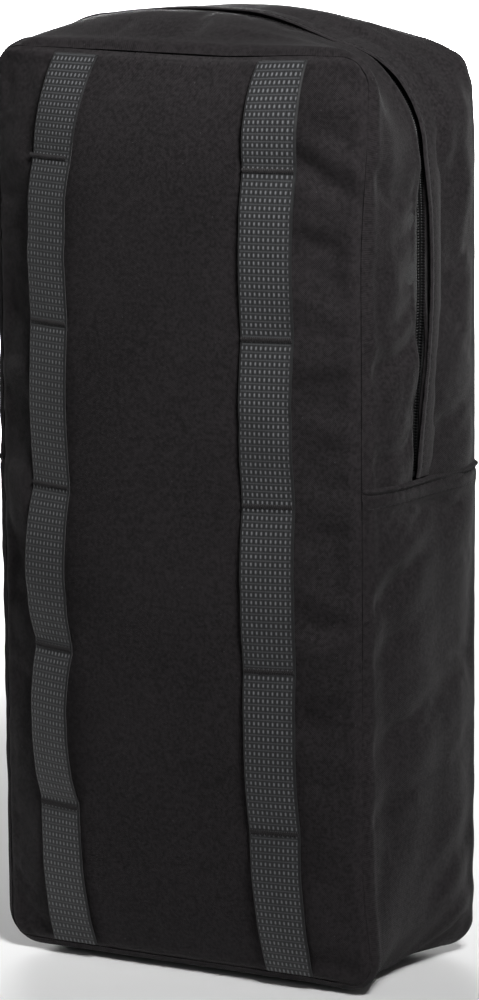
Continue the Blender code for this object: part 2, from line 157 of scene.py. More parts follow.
def normals_of(grid):
    """Unit normals of a grid of points, by its neighbours."""
    along = np.gradient(grid, axis=0)
    across = np.gradient(grid, axis=1)
    normal = np.cross(along, across)
    return normal / np.maximum(np.linalg.norm(normal, axis=-1, keepdims=True), 1e-12)


def spread(values, places):
    """Values on evenly spaced rows read at new places from 0 to 1, on a smooth curve."""
    count = len(values)
    place = np.clip(places, 0, 1) * (count - 1)
    base = np.clip(np.floor(place).astype(int), 0, count - 2)
    t = (place - base)[(...,) + (None,) * (values.ndim - 1)]
    before, here = values[np.clip(base - 1, 0, count - 1)], values[base]
    there, after = values[base + 1], values[np.clip(base + 2, 0, count - 1)]
    bend = (2 * before - 5 * here + 4 * there - after) * t**2 + (3 * (here - there) + after - before) * t**3
    return here + 0.5 * ((there - before) * t + bend)


def refined(coarse, rows, columns):
    """A coarse grid of vectors read on more rows and columns."""
    finer = spread(coarse, np.linspace(0, 1, rows))
    return spread(finer.transpose(1, 0, 2), np.linspace(0, 1, columns)).transpose(1, 0, 2)


def box_blur(grid, reach):
    """A grid averaged over a number of cells each way, three times."""
    for _ in range(3):
        for axis in (0, 1):
            size = min(reach, grid.shape[axis] // 2 - 1)
            pad = [(0, 0)] * grid.ndim
            pad[axis] = (size + 1, size)
            total = np.cumsum(np.pad(grid, pad, mode="edge"), axis=axis)
            count = 2 * size + 1
            ahead = np.take(total, range(count, total.shape[axis]), axis=axis)
            behind = np.take(total, range(0, total.shape[axis] - count), axis=axis)
            grid = (ahead - behind) / count
    return grid


PRESSURE = 6
SETTLING_FRAMES = 24
WRINKLE_REACH = 6
MOST_SHIFT = 0.0026


def settle_cloth(grid, held, gathered):
    """Lets a coarse grid of cloth settle over the filling, and gives how far each point moves.

    Held points stay. Gathered points have cloth to spare, as along a seam that draws it in."""
    rows, columns = grid.shape[:2]
    index = np.arange(rows * columns).reshape(rows, columns)
    corners = (index[:-1, :-1], index[1:, :-1], index[1:, 1:], index[:-1, 1:])
    faces = np.stack([corner.ravel() for corner in corners], axis=1)
    mesh = bpy.data.meshes.new("settling")
    mesh.from_pydata(grid.reshape(-1, 3).tolist(), [], faces.tolist())
    cloth = bpy.data.objects.new("settling", mesh)
    bpy.context.scene.collection.objects.link(cloth)
    pins = cloth.vertex_groups.new(name="held")
    spare = cloth.vertex_groups.new(name="gathered")
    for number, (pin, slack) in enumerate(zip(held.ravel(), gathered.ravel())):
        pins.add([number], float(pin), "REPLACE")
        spare.add([number], float(slack), "REPLACE")
    settings = cloth.modifiers.new("Cloth", "CLOTH").settings
    settings.quality = 6
    settings.mass = 0.25
    settings.tension_stiffness = 20
    settings.compression_stiffness = 20
    settings.shear_stiffness = 8
    settings.bending_stiffness = 0.4
    settings.use_pressure = True
    settings.uniform_pressure_force = PRESSURE
    settings.effector_weights.gravity = 0
    settings.vertex_group_mass = "held"
    settings.vertex_group_shrink = "gathered"
    settings.shrink_min = -0.004
    settings.shrink_max = -0.045
    scene = bpy.context.scene
    scene.frame_end = max(scene.frame_end, SETTLING_FRAMES)
    cloth.modifiers["Cloth"].point_cache.frame_end = SETTLING_FRAMES
    for number in range(1, SETTLING_FRAMES + 1):
        scene.frame_set(number)
    settled = cloth.evaluated_get(bpy.context.evaluated_depsgraph_get())
    moved = np.empty(rows * columns * 3)
    settled.data.vertices.foreach_get("co", moved)
    scene.frame_set(1)
    bpy.data.objects.remove(cloth)
    bpy.data.meshes.remove(mesh)
    shift = moved.reshape(grid.shape) - grid
    shift -= box_blur(shift, WRINKLE_REACH)
    shift *= (1 - held)[..., None]
    length = np.linalg.norm(shift, axis=-1, keepdims=True)
    return shift * (MOST_SHIFT * np.tanh(length / MOST_SHIFT) / np.maximum(length, 1e-9))


def cloth_piece(name, outer, cut, thick, materials, turn=1):
    """A sewn piece from a grid of points on its outer side, with its thickness and closed edges.

    cut holds the place of each point on the flat cloth, and how far it is from a sewn edge."""
    rows, columns = outer.shape[:2]
    inner = outer - turn * thick * normals_of(outer)
    points = slump(np.concatenate([outer.reshape(-1, 3), inner.reshape(-1, 3)]))
    index = np.arange(rows * columns).reshape(rows, columns)
    skin = [index[:-1, :-1], index[1:, :-1], index[1:, 1:], index[:-1, 1:]]
    skin = np.stack([corner.ravel() for corner in skin], axis=1)
    lining = skin[:, ::-1] + rows * columns
    rim = np.concatenate([index[0, :-1], index[:-1, -1], index[-1, :0:-1], index[:0:-1, 0]])
    after = np.roll(rim, -1)
    wall = np.stack([rim, after, after + rows * columns, rim + rows * columns], axis=1)
    faces = np.concatenate([skin, lining, wall])
    if turn < 0:
        faces = faces[:, ::-1]
    mesh = bpy.data.meshes.new(name)
    mesh.from_pydata(points.tolist(), [], faces.tolist())
    store = mesh.attributes.new("cut", "FLOAT_VECTOR", "POINT")
    store.data.foreach_set("vector", np.concatenate([cut.reshape(-1, 3)] * 2).ravel())
    for material in materials:
        mesh.materials.append(material)
    if len(materials) > 1:
        side = np.concatenate([np.zeros(len(skin)), np.ones(len(lining)), np.zeros(len(wall))])
        mesh.polygons.foreach_set("material_index", side.astype(np.int32))
    mesh.shade_smooth()
    mesh.set_sharp_from_angle(angle=math.radians(50))
    piece = bpy.data.objects.new(name, mesh)
    bpy.context.scene.collection.objects.link(piece)
    return piece


class Finish:
    """A material's shader, with short ways to add the nodes that feed it."""

    def __init__(self, name):
        self.material = bpy.data.materials.new(name)
        self.material.use_nodes = True
        self.tree = self.material.node_tree
        self.body = self.add("TexCoord").outputs["Object"]

    def feed(self, node, feeds):
        """Links each socket to what feeds it, or sets its value."""
        for socket, source in dict(feeds).items():
            if isinstance(source, bpy.types.NodeSocket):
                self.tree.links.new(source, node.inputs[socket])
            else:
                node.inputs[socket].default_value = source

    def add(self, kind, feeds=(), **settings):
        """Adds a node, sets it up and feeds its sockets."""
        node = self.tree.nodes.new("ShaderNode" + kind)
        for key, value in settings.items():
            setattr(node, key, value)
        self.feed(node, feeds)
        return node

    def flat_places(self):
        """On the flat cloth: across, along, and in from the edge."""
        cut = self.add("Attribute", attribute_name="cut").outputs["Vector"]
        return self.add("SeparateXYZ", {0: cut}).outputs

    def noise(self, scale, detail):
        """Soft random patches, this many to the metre."""
        return self.add("TexNoise", {"Vector": self.body, "Scale": scale, "Detail": detail}).outputs["Fac"]

    def cells(self, scale):
        return self.add("TexVoronoi", {"Vector": self.body, "Scale": scale}).outputs["Distance"]

    def calc(self, operation, *values):
        return self.add("Math", dict(enumerate(values)), operation=operation).outputs[0]

    def ranged(self, value, low, high, to_low=0.0, to_high=1.0):
        """A value stretched from one range to another."""
        feeds = {"Value": value, "From Min": low, "From Max": high, "To Min": to_low, "To Max": to_high}
        return self.add("MapRange", feeds).outputs[0]

    def tint(self, share, dark, light):
        """A colour between two, by a share from 0 to 1."""
        return self.add("Mix", {"Factor": share, 6: dark, 7: light}, data_type="RGBA").outputs[2]

    def bump(self, height, strength, distance):
        return self.add("Bump", {"Height": height, "Strength": strength, "Distance": distance}).outputs[0]

    def shade(self, feeds):
        """Feeds the shader and gives the finished material."""
        self.feed(self.tree.nodes["Principled BSDF"], feeds)
        return self.material


DUST = (0.060, 0.057, 0.059, 1)


def woven_cloth(name, dark, light, yarn, rough, sheen, relief):
    """Plain-woven cloth: yarns over and under, slow changes of shade, rubbed edges and a few specks."""
    cloth = Finish(name)
    x, y, from_edge = cloth.flat_places()
    waves = [cloth.calc("SINE", cloth.calc("MULTIPLY", part, math.pi / yarn)) for part in (x, y)]
    weave = cloth.calc("MULTIPLY", *waves)
    patches = cloth.noise(16.0, 3.0)
    slubs = cloth.noise(560.0, 3.0)
    thick_thin = cloth.ranged(slubs, 0.34, 0.66)
    faded = cloth.ranged(patches, 0.3, 0.7)
    rubbed = cloth.calc("MULTIPLY", slubs, cloth.ranged(from_edge, 0.0, 0.007, 0.45, 0.0))
    yarns = cloth.calc("MULTIPLY_ADD", weave, 0.34, 0.12)
    mixed = cloth.calc("MULTIPLY_ADD", faded, 0.26, yarns)
    slubbed = cloth.calc("MULTIPLY_ADD", thick_thin, 0.60, mixed)
    woven = cloth.tint(cloth.calc("ADD", slubbed, rubbed), (*dark, 1), (*light, 1))
    speck = cloth.ranged(cloth.cells(150.0), 0.035, 0.06, 0.5, 0.0)
    height = cloth.calc("MULTIPLY_ADD", slubs, 0.8, weave)
    return cloth.shade({
        "Base Color": cloth.tint(speck, woven, DUST),
        "Roughness": cloth.ranged(patches, 0.2, 0.8, rough - 0.07, rough + 0.07),
        "Specular IOR Level": 0.07,
        "Sheen Weight": sheen,
        "Sheen Roughness": 0.45,
        "Normal": cloth.bump(height, 0.7, relief),
    })


shell_cloth = woven_cloth("black_nylon", (0.0050, 0.0044, 0.0047), (0.0220, 0.0194, 0.0207),
                          0.00045, 0.76, 0.06, 0.00012)
coated_side = woven_cloth("coated_side", (0.016, 0.016, 0.018), (0.036, 0.037, 0.040),
                          0.00045, 0.42, 0.0, 0.00005)


def panel_grid(rows, columns, inset):
    """Places on a round-cornered panel: x and z for each row and column."""
    share = np.linspace(0, 1, rows)
    turn = 0.5 - 0.5 * np.cos(share * math.pi)
    z = LOW + inset + (HIGH - LOW - 2 * inset) * (0.72 * share + 0.28 * turn)
    across = np.linspace(-1, 1, columns)
    x = half_width(z, inset)[:, None] * across[None, :]
    return x, np.repeat(z[:, None], columns, axis=1)


def panel_edge(x, z, inset):
    """How far a place on the panel is from its seam."""
    side = half_width(z, inset) - np.abs(x)
    ends = np.minimum(HIGH - inset - z, z - LOW - inset)
    return np.maximum(np.minimum(side, ends), 0)


tack_boxes = [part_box(f"bartack_left_{number}") for number in range(1, 6)]
tack_heights = [(low.z + high.z) / 2 for low, high in tack_boxes]
web_low, web_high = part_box("ladder_right_lower")
WEB_CENTRE = (web_low.x + web_high.x) / 2
WEB_WIDTH = web_high.x - web_low.x


def front_relief(x, z):
    """Creases and hollows of the front panel, outward in metres."""
    edge = panel_edge(x, z, PANEL_INSET)
    roll = -0.0018 * (1 - smooth_step(edge, 0.0, 0.0034))
    ridge = 0.0005 * hump(edge, 0.0048, 0.0022)
    near = 1 - smooth_step(edge, 0.002, 0.013)
    tiny = 0.00016 * near * lumps(x, z * 1.6, 0.0085, 11)
    strip = smooth_step(np.abs(x), WEB_CENTRE + 0.004, WEB_CENTRE + 0.02)
    drawn = 0.0036 * strip * lumps(x * 0.42 + z * 0.25, z, 0.0175, 12) * smooth_step(edge, 0.001, 0.012)
    soft = 0.0012 * lumps(x, z, 0.075, 13) * smooth_step(edge, 0.004, 0.04)
    loose = 0.0004 * (0.35 + strip) * lumps(x, z * 1.2, 0.026, 14) * smooth_step(edge, 0.004, 0.02)
    slant = (x - 0.083) * 0.62 + (z - 0.400) * 0.78
    along = (x - 0.083) * 0.78 - (z - 0.400) * 0.62
    crease = 0.0022 * hump(slant, 0.0085, 0.0065) - 0.0030 * hump(slant, -0.0015, 0.0055)
    crease = crease * hump(along, 0, 0.024)
    pulled = np.zeros_like(x)
    for height in tack_heights:
        pulled -= 0.0011 * hump(z, height, 0.007) * hump(np.abs(x), WEB_CENTRE, WEB_WIDTH * 0.62)
    return roll + ridge + tiny + drawn + soft + loose + crease + pulled


def front_grid(rows, columns, relief=True):
    """The front panel's outer side, with its places across and up."""
    x, z = panel_grid(rows, columns, PANEL_INSET)
    out = bulge(x, z)
    grid = np.stack([x, FRONT - out, z], axis=-1)
    if relief:
        grid += normals_of(grid) * -front_relief(x, z)[..., None]
    return grid, x, z


coarse, x, z = front_grid(92, 44, relief=False)
edge = panel_edge(x, z, PANEL_INSET)
held = (edge < 0.001).astype(float)
under_web = np.abs(np.abs(x) - WEB_CENTRE) < WEB_WIDTH * 0.45
for height in tack_heights:
    held = np.maximum(held, (hump(z, height, 0.004) > 0.5) * under_web)
gathered = 1 - smooth_step(edge, 0.004, 0.035)
shift = settle_cloth(coarse[::-1], held[::-1], gathered[::-1])[::-1]
ROWS, COLUMNS = 330, 150
outer, x, z = front_grid(ROWS, COLUMNS)
shift = refined(shift, ROWS, COLUMNS)
pressed_smooth = 1 - smooth_step(np.abs(x), WEB_CENTRE + 0.011, WEB_CENTRE + 0.022)
pressed_smooth *= smooth_step(HIGH - z, 0.012, 0.040) * smooth_step(z - LOW, 0.012, 0.040)
outer += shift * (1 - 0.93 * pressed_smooth)[..., None]
cut = np.stack([x, z, panel_edge(x, z, PANEL_INSET)], axis=-1)
front_panel = cloth_piece("front_panel", outer, cut, CLOTH, [shell_cloth, coated_side], turn=-1)


def fix_to(body, piece, slot, *nodes):
    """Parents a piece to a body, or for the lid's fold bakes its place into its points, and hides the plain
    solids it stands for.
    """
    if body == "fold":
        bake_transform(piece)
    else:
        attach(piece, body)
    if nodes:
        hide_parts(*nodes)


fix_to("fold", front_panel, "shell_cloth", "front_panel_lower", "front_panel_fold", "front_panel_upper")

# ---------------------------------------------------------------------- gussets of the upper half
# Two strips of the same nylon run up one side, over the top and down the other, with the zip
# between them: a narrow one sewn to the front panel, and a wide one sewn to the back. Both are
# rolled in at their seams, and both are tucked under the lower gusset at their ends.
rear_low, rear_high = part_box("rear_gusset")
SIDE_SWELL = rear_high.x - HALF
TOP_SWELL = 0.006
TOP_CROWN = rear_high.z - HIGH - TOP_SWELL
TOP_BEND = 0.045
TUCK = rear_low.z
BEND_LENGTH = TOP_BEND * math.pi / 2
TOP_LENGTH = 2 * (HALF + SIDE_SWELL - TOP_BEND)
SIDE_LENGTH = HIGH - TOP_BEND - TUCK
UPPER_REACH = TOP_LENGTH / 2 + BEND_LENGTH + SIDE_LENGTH
LIP_NARROW = rear_low.y - ZIP
LIP_WIDE = 0.0058
GAPE = 0.0026


def swell(y):
    """How full the gusset is at this depth: 0 at the seams, 1 around the zip."""
    share = np.clip((y - FRONT) / DEPTH, 0, 1)
    return 1 - np.abs(1 - 2 * share) ** 3.9


def upper_point(s, y, inward=0.0):
    """A point of the upper half. s is measured along the hoop from the middle of the top."""
    full = swell(y)
    half = HALF + SIDE_SWELL * full
    radius = PANEL_CORNER + (TOP_BEND - PANEL_CORNER) * full
    high = HIGH + TOP_SWELL * full
    side = np.sign(s)
    reach = np.abs(s)
    on_top = np.clip(reach / (TOP_LENGTH / 2), 0, 1)
    angle = np.clip((reach - TOP_LENGTH / 2) / BEND_LENGTH, 0, 1) * math.pi / 2
    down = np.clip((reach - TOP_LENGTH / 2 - BEND_LENGTH) / SIDE_LENGTH, 0, None)
    flat = half - radius
    x = side * (flat * on_top + (radius - inward) * np.sin(angle))
    crown = TOP_CROWN * full * (1 - on_top**2)
    z = high - radius + (radius - inward) * np.cos(angle) + crown
    z = z - down * (high - radius - TUCK)
    return np.stack([x + 0 * y, y + 0 * x, z + 0 * y], axis=-1)


def lip_at(s):
    """From the zip's middle to the cloth edge: wide down the left side, narrow elsewhere."""
    turn = smooth_step(-s, TOP_LENGTH / 2, TOP_LENGTH / 2 + BEND_LENGTH)
    return LIP_NARROW + (LIP_WIDE - LIP_NARROW) * turn


def gape_at(s):
    """Where the zip line stands open a little: the right side, a hand above the side seam."""
    down = UPPER_REACH - s
    return smooth_step(down, 0.004, 0.060) * (1 - smooth_step(down, 0.095, 0.175)) * (s > 0)


def slanting_folds(height, y, places):
    """Soft folds that run up from the front seam: a ridge over a hollow for each place.

    A place holds its height over the side seam, its slope, its depth and its width."""
    folds = np.zeros_like(height + y)
    for place, slope, deep, wide in places:
        offset = height - place - slope * (y - (FRONT + ZIP) / 2)
        folds += deep * (0.55 * hump(offset, 1.7 * wide, wide) - hump(offset, 0, wide))
    return folds


UPPER_FOLDS = (
    (0.020, 0.30, 0.0010, 0.0050),
    (0.063, 0.50, 0.0019, 0.0056),
    (0.098, 0.25, 0.0009, 0.0070),
    (0.138, 0.22, 0.0016, 0.0072),
)


def seam_relief(s, y, seed):
    """How a gusset rolls in, stands up and puckers along its front and back seams."""
    depth = y - FRONT
    behind = BACK - y
    roll = -0.0016 * (1 - smooth_step(depth, 0, 0.003)) - 0.0016 * (1 - smooth_step(behind, 0, 0.004))
    ridge = 0.0007 * hump(depth, 0.0045, 0.0021) + 0.0006 * hump(behind, 0.006, 0.0025)
    near = 1 - smooth_step(np.minimum(depth, behind), 0.002, 0.013)
    return roll + ridge + 0.00014 * near * lumps(s * 1.4, y, 0.0085, seed)


def upper_relief(s, y):
    """Creases of the upper gussets, outward in metres."""
    depth = y - FRONT
    behind = BACK - y
    edge = np.minimum(depth, behind)
    soft = 0.0018 * lumps(s, y * 1.5, 0.060, 22) * smooth_step(edge, 0.004, 0.03)
    pulls = smooth_step(ZIP - y, 0.002, 0.010) * smooth_step(np.abs(s), TOP_LENGTH / 2, TOP_LENGTH / 2 + 0.05)
    loose = 0.0011 * lumps(s + y * 0.6, y * 0.9, 0.023, 23) * smooth_step(edge, 0.003, 0.015)
    loose = loose * (1 + 0.8 * pulls)
    corner = hump(s, TOP_LENGTH / 2 + BEND_LENGTH + 0.008, 0.062)
    left_corner = hump(-s, TOP_LENGTH / 2 + BEND_LENGTH * 0.8, 0.050)
    sway = 0.0040 * np.sin(s * 24.0) + 0.0022 * lumps(s, 0 * y, 0.03, 25)
    folds = np.zeros_like(s + y)
    for place, height, width in ((0.0200, 1.0, 0.0050), (0.0360, 1.2, 0.0070)):
        offset = depth - (ZIP - FRONT) - place - sway
        folds += 0.001 * height * (hump(offset, 0, width) - 0.6 * hump(offset, -1.6 * width, width))
    folds *= corner + 0.7 * left_corner
    hang = 0.0009 * lumps(s * 0.35, y, 0.012, 24) * smooth_step(edge, 0.004, 0.012)
    hang = hang * smooth_step(np.abs(s), TOP_LENGTH / 2 + BEND_LENGTH, UPPER_REACH - 0.05)
    before_zip = smooth_step(ZIP - y, 0.002, 0.009) * smooth_step(depth, 0.001, 0.007)
    folds += slanting_folds(UPPER_REACH - np.abs(s), y, UPPER_FOLDS) * before_zip
    return seam_relief(s, y, 21) + soft + loose + folds + hang


def band(s, y, relief=upper_relief, point=upper_point, inward=0.0):
    """A grid over the hoop, with its creases pushed out along its own normals."""
    grid = point(s, y, inward)
    outward = normals_of(grid) * (1 if point is upper_point else -1)
    return grid + outward * relief(s, y)[..., None]


def shifted(grid, s, y, held, gathered):
    """The settling of a band, worked out on a coarse copy and spread over the fine grid."""
    rows = np.linspace(0, len(s) - 1, max(int(np.ptp(s) / 0.005), 8)).astype(int)
    columns = np.linspace(0, grid.shape[1] - 1, max(int(np.ptp(y) / 0.0045), 6)).astype(int)
    pick = np.ix_(rows, columns)
    shift = settle_cloth(grid[pick], held[pick].astype(float), gathered[pick])
    shift = refined(shift, grid.shape[0], grid.shape[1])
    from_seam = np.minimum(y - FRONT, BACK - y) + 0 * s
    return shift * smooth_step(from_seam, 0.007, 0.018)[..., None]


def cut_of(s, y, edge):
    """Places on the flat strip: along it, across it, and in from its sewn edge."""
    return np.stack([s + 0 * y, y + 0 * s, edge + 0 * s], axis=-1)


def ease(share):
    """Shares of a width with more of them near both ends, where the cloth rolls in."""
    return 0.6 * share + 0.4 * (0.5 - 0.5 * np.cos(share * math.pi))


HOOP_STEPS = 560
s = np.linspace(-UPPER_REACH, UPPER_REACH, HOOP_STEPS)[:, None]
share = ease(np.linspace(0, 1, 40))[None, :]
front_edge = ZIP - lip_at(s) - GAPE * gape_at(s)
y = FRONT + SEAM_GAP + (front_edge - FRONT - SEAM_GAP) * share
grid = band(s + 0 * y, y)
lip_drop = -0.0010 * (1 - smooth_step(front_edge - y, 0.0, 0.0022))
lip_ridge = 0.0004 * hump(front_edge - y, 0.0035, 0.0016)
grid += normals_of(grid) * (lip_drop + lip_ridge)[..., None]
held = (share < 0.02) | (share > 0.93) | (np.abs(s) > UPPER_REACH - 0.004)
gathered = 1 - smooth_step(y - FRONT, 0.003, 0.020)
grid += shifted(grid, s, y, held | (y < FRONT + 0.0012), gathered)
seam_edge = np.minimum(y - FRONT, front_edge - y + 0.002)
front_gusset = cloth_piece("front_gusset_cloth", grid, cut_of(s, y, seam_edge), CLOTH,
                           [shell_cloth, coated_side])
fix_to("fold", front_gusset, "shell_cloth", "front_gusset", "gusset_fold_left", "gusset_fold_right")

share = ease(np.linspace(0, 1, 64))[None, :]
rear_edge = ZIP + lip_at(s)
y = rear_edge + (BACK - rear_edge) * share
grid = band(s + 0 * y, y)
held = (share < 0.05) | (share > 0.98) | (np.abs(s) > UPPER_REACH - 0.004)
grid += shifted(grid, s, y, held, 1 - smooth_step(BACK - y, 0.003, 0.022))
rear_gusset = cloth_piece("rear_gusset_cloth", grid, cut_of(s, y, BACK - y), CLOTH,
                          [shell_cloth, coated_side])
fix_to("pouch", rear_gusset, "shell_cloth", "rear_gusset")

# -------------------------------------------------------------------------------- lower gusset
# One wide strip goes down one side, under the base and up the other. Its top edges are folded
# over and topstitched across the ends of the upper gussets and the zip. The base carries the
# weight and is pressed flat, and the lower rear corners hang in slanting folds.
BASE_SWELL = LOW - low_gusset_low.z
LOW_SIDE_SWELL = 0.004
BASE_BEND = 0.030
LAP = 0.012
LAP_STEP = 0.006
LAP_RISE = low_gusset_high.x - HALF - SIDE_SWELL
BASE_LENGTH = 2 * (HALF + LOW_SIDE_SWELL - BASE_BEND)
LOW_BEND_LENGTH = BASE_BEND * math.pi / 2
LOW_SIDE_LENGTH = MID_SEAM - LOW - BASE_BEND + BASE_SWELL
LOWER_REACH = BASE_LENGTH / 2 + LOW_BEND_LENGTH + LOW_SIDE_LENGTH


def lower_point(s, y, inward=0.0):
    """A point of the lower half. s is measured along the hoop from the middle of the base."""
    full = swell(y)
    radius = PANEL_CORNER + (BASE_BEND - PANEL_CORNER) * full
    low = LOW - BASE_SWELL * full
    side = np.sign(s)
    reach = np.abs(s)
    under = np.clip(reach / (BASE_LENGTH / 2), 0, 1)
    angle = np.clip((reach - BASE_LENGTH / 2) / LOW_BEND_LENGTH, 0, 1) * math.pi / 2
    up = np.clip((reach - BASE_LENGTH / 2 - LOW_BEND_LENGTH) / LOW_SIDE_LENGTH, 0, 1)
    z = low + radius - (radius - inward) * np.cos(angle) + up * (MID_SEAM - low - radius)
    climb = np.clip((np.maximum(z, low + radius) - LOW) / (MID_SEAM - LAP - LOW), 0, 1)
    half = HALF + (LOW_SIDE_SWELL + (SIDE_SWELL - LOW_SIDE_SWELL) * climb) * full
    x = side * ((half - radius) * under + (radius - inward) * np.sin(angle))
    out = LAP_RISE * (0.15 + 0.85 * full) * smooth_step(z, MID_SEAM - LAP - 0.002, MID_SEAM - LAP + LAP_STEP)
    return np.stack([x + side * out + 0 * y, y + 0 * x, z + 0 * y], axis=-1)


LOWER_FOLDS = (
    (-0.046, 0.55, 0.0018, 0.0065),
    (-0.074, 0.40, 0.0014, 0.0080),
    (-0.118, 0.30, 0.0012, 0.0075),
    (-0.152, 0.25, 0.0015, 0.0080),
)


def lower_relief(s, y):
    """Creases of the lower gusset, outward in metres."""
    depth = y - FRONT
    behind = BACK - y
    edge = np.minimum(depth, behind)
    reach = np.abs(s)
    base = 1 - smooth_step(reach, BASE_LENGTH / 2 - 0.01, BASE_LENGTH / 2 + LOW_BEND_LENGTH * 0.6)
    hem = LOWER_REACH - reach
    free = 1 - base
    soft = 0.0022 * lumps(s, y * 1.4, 0.058, 32) * smooth_step(edge, 0.004, 0.03)
    loose = 0.0013 * lumps(s - y * 0.5, y, 0.025, 33) * smooth_step(edge, 0.003, 0.015)
    corner = np.zeros_like(s + y)
    along = reach - BASE_LENGTH / 2
    for place, height, width in ((0.035, 1.5, 0.0055), (0.058, 1.3, 0.0065), (0.086, 0.8, 0.0075)):
        slant = (along - place) * 0.72 - (depth - 0.070) * 0.70
        reach_along = (along - place) * 0.70 + (depth - 0.070) * 0.72
        fold = hump(slant, 0, width) - 0.75 * hump(slant, -width * 1.9, width * 1.1)
        corner += 0.001 * height * fold * hump(reach_along, 0.004, 0.034)
    calm = smooth_step(hem, 0.008, 0.030)
    hanging = slanting_folds(-hem, y, LOWER_FOLDS) * smooth_step(edge, 0.001, 0.008)
    corner = corner + hanging * hump(depth, 0.018, 0.030)
    rim = -0.0009 * (1 - smooth_step(hem, 0, 0.0010))
    bead = 0.0009 * hump(hem, 0.0014, 0.0012) - 0.0006 * hump(hem, 0.0034, 0.0009)
    gathers = 0.00028 * lumps(y * 2.2, s, 0.008, 34) * hump(hem, 0.004, 0.006)
    creases = seam_relief(s, y, 31) + free * calm * (soft + loose) + free * corner
    return creases + rim + bead + gathers


share = np.linspace(0, 1, 620)
s = ((share - 0.5) * 2)[:, None] * LOWER_REACH
s = np.sign(s) * (LOWER_REACH - (LOWER_REACH - np.abs(s)) ** 1.12 * LOWER_REACH ** -0.12)
share = ease(np.linspace(0, 1, 96))[None, :]
y = FRONT + SEAM_GAP + (DEPTH - SEAM_GAP) * share + 0 * s
grid = band(s + 0 * y, y, lower_relief, lower_point)
reach = np.abs(s)
held = (share < 0.02) | (share > 0.98) | (reach > LOWER_REACH - 0.014)
held = held | (reach < BASE_LENGTH / 2 - 0.004)
edge = np.minimum(y - FRONT, BACK - y)
gathered = 1 - smooth_step(edge, 0.003, 0.022)
grid += shifted(grid[::-1], s, y, held[::-1], gathered[::-1])[::-1]
grid[..., 2] = np.maximum(grid[..., 2], low_gusset_low.z)
lower_gusset = cloth_piece("lower_gusset_cloth", grid, cut_of(s, y, edge), CLOTH,
                           [shell_cloth, coated_side], turn=-1)
fix_to("pouch", lower_gusset, "shell_cloth", "lower_gusset")

# ------------------------------------------------------------------------ back panel and lining
# The back is one flat panel of the same nylon over a sheet of closed-cell foam, with a thin coated
# lining inside. A row of topstitching just inside the seam holds the foam in place.
def back_grid(rows, columns, inset, y):
    """A flat round-cornered panel at this depth, with its places across and up."""
    x, z = panel_grid(rows, columns, inset)
    return np.stack([x, np.full_like(x, y), z], axis=-1), x, z


outer, x, z = back_grid(200, 90, PANEL_INSET, BACK)
edge = panel_edge(x, z, PANEL_INSET)
BACK_STITCH = 0.0075
roll = -0.0011 * (1 - smooth_step(edge, 0, 0.0035)) + 0.0006 * hump(edge, 0.0042, 0.0018)
groove = -0.0007 * hump(edge, BACK_STITCH, 0.0014)
soft = 0.0007 * lumps(x, z, 0.055, 41) + 0.00035 * lumps(x, z, 0.021, 42)
drawn = 0.0003 * lumps(x * 2.4, z * 2.4, 0.010, 43) * (1 - smooth_step(edge, 0.006, 0.016))
outer[..., 1] += roll + groove + drawn + (0.0006 + soft) * smooth_step(edge, 0.004, 0.03)
back_panel = cloth_piece("back_panel_cloth", outer, np.stack([x, z, edge], axis=-1), CLOTH,
                         [shell_cloth, coated_side], turn=1)
fix_to("pouch", back_panel, "shell_cloth", "back_panel")

lining_low, lining_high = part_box("back_lining")
lining_cloth = woven_cloth("lining_cloth", (0.020, 0.021, 0.023), (0.052, 0.053, 0.057),
                           0.0003, 0.5, 0.05, 0.00005)
LINING_INSET = HALF - lining_high.x
outer, x, z = back_grid(150, 70, LINING_INSET, lining_low.y)
edge = panel_edge(x, z, LINING_INSET)
ripple = 0.0008 * lumps(x, z, 0.045, 44) + 0.0004 * lumps(x * 2, z, 0.02, 45)
outer[..., 1] -= (0.0003 + ripple) * smooth_step(edge, 0.002, 0.03) * 0.8
back_lining = cloth_piece("back_lining_cloth", outer, np.stack([x, z, edge], axis=-1),
                          lining_high.y - lining_low.y, [lining_cloth], turn=-1)
fix_to("pouch", back_lining, "lining_cloth", "back_lining")

foam = Finish("closed_cell_foam")
closed_cell_foam = foam.shade({
    "Base Color": foam.tint(foam.noise(30.0, 3.0), (0.035, 0.035, 0.037, 1), (0.065, 0.065, 0.068, 1)),
    "Roughness": 0.85,
    "Normal": foam.bump(foam.cells(900.0), 0.6, 0.0003),
})
stiffener = frame["nodes"]["back_stiffener"]
stiffener.data.materials.clear()
stiffener.data.materials.append(closed_cell_foam)

# ----------------------------------------------------------------------------- seam bindings
# Inside, the raw edges of each seam are bound with a woven tape, so that they can't fray. It is
# folded over them and stitched through, and the lower front one stops short of the hem.
binding_tape = woven_cloth("binding_tape", (0.012, 0.012, 0.013), (0.036, 0.036, 0.039),
                           0.00055, 0.72, 0.15, 0.00018)
binding_low, binding_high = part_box("front_binding_upper")
rear_binding_low, rear_binding_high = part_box("back_binding_upper")
BINDING_THICK = 0.0012
BINDING_INWARD = CLOTH + 0.0009
CREASE_FOLLOWED = 0.0004
FINE = 420


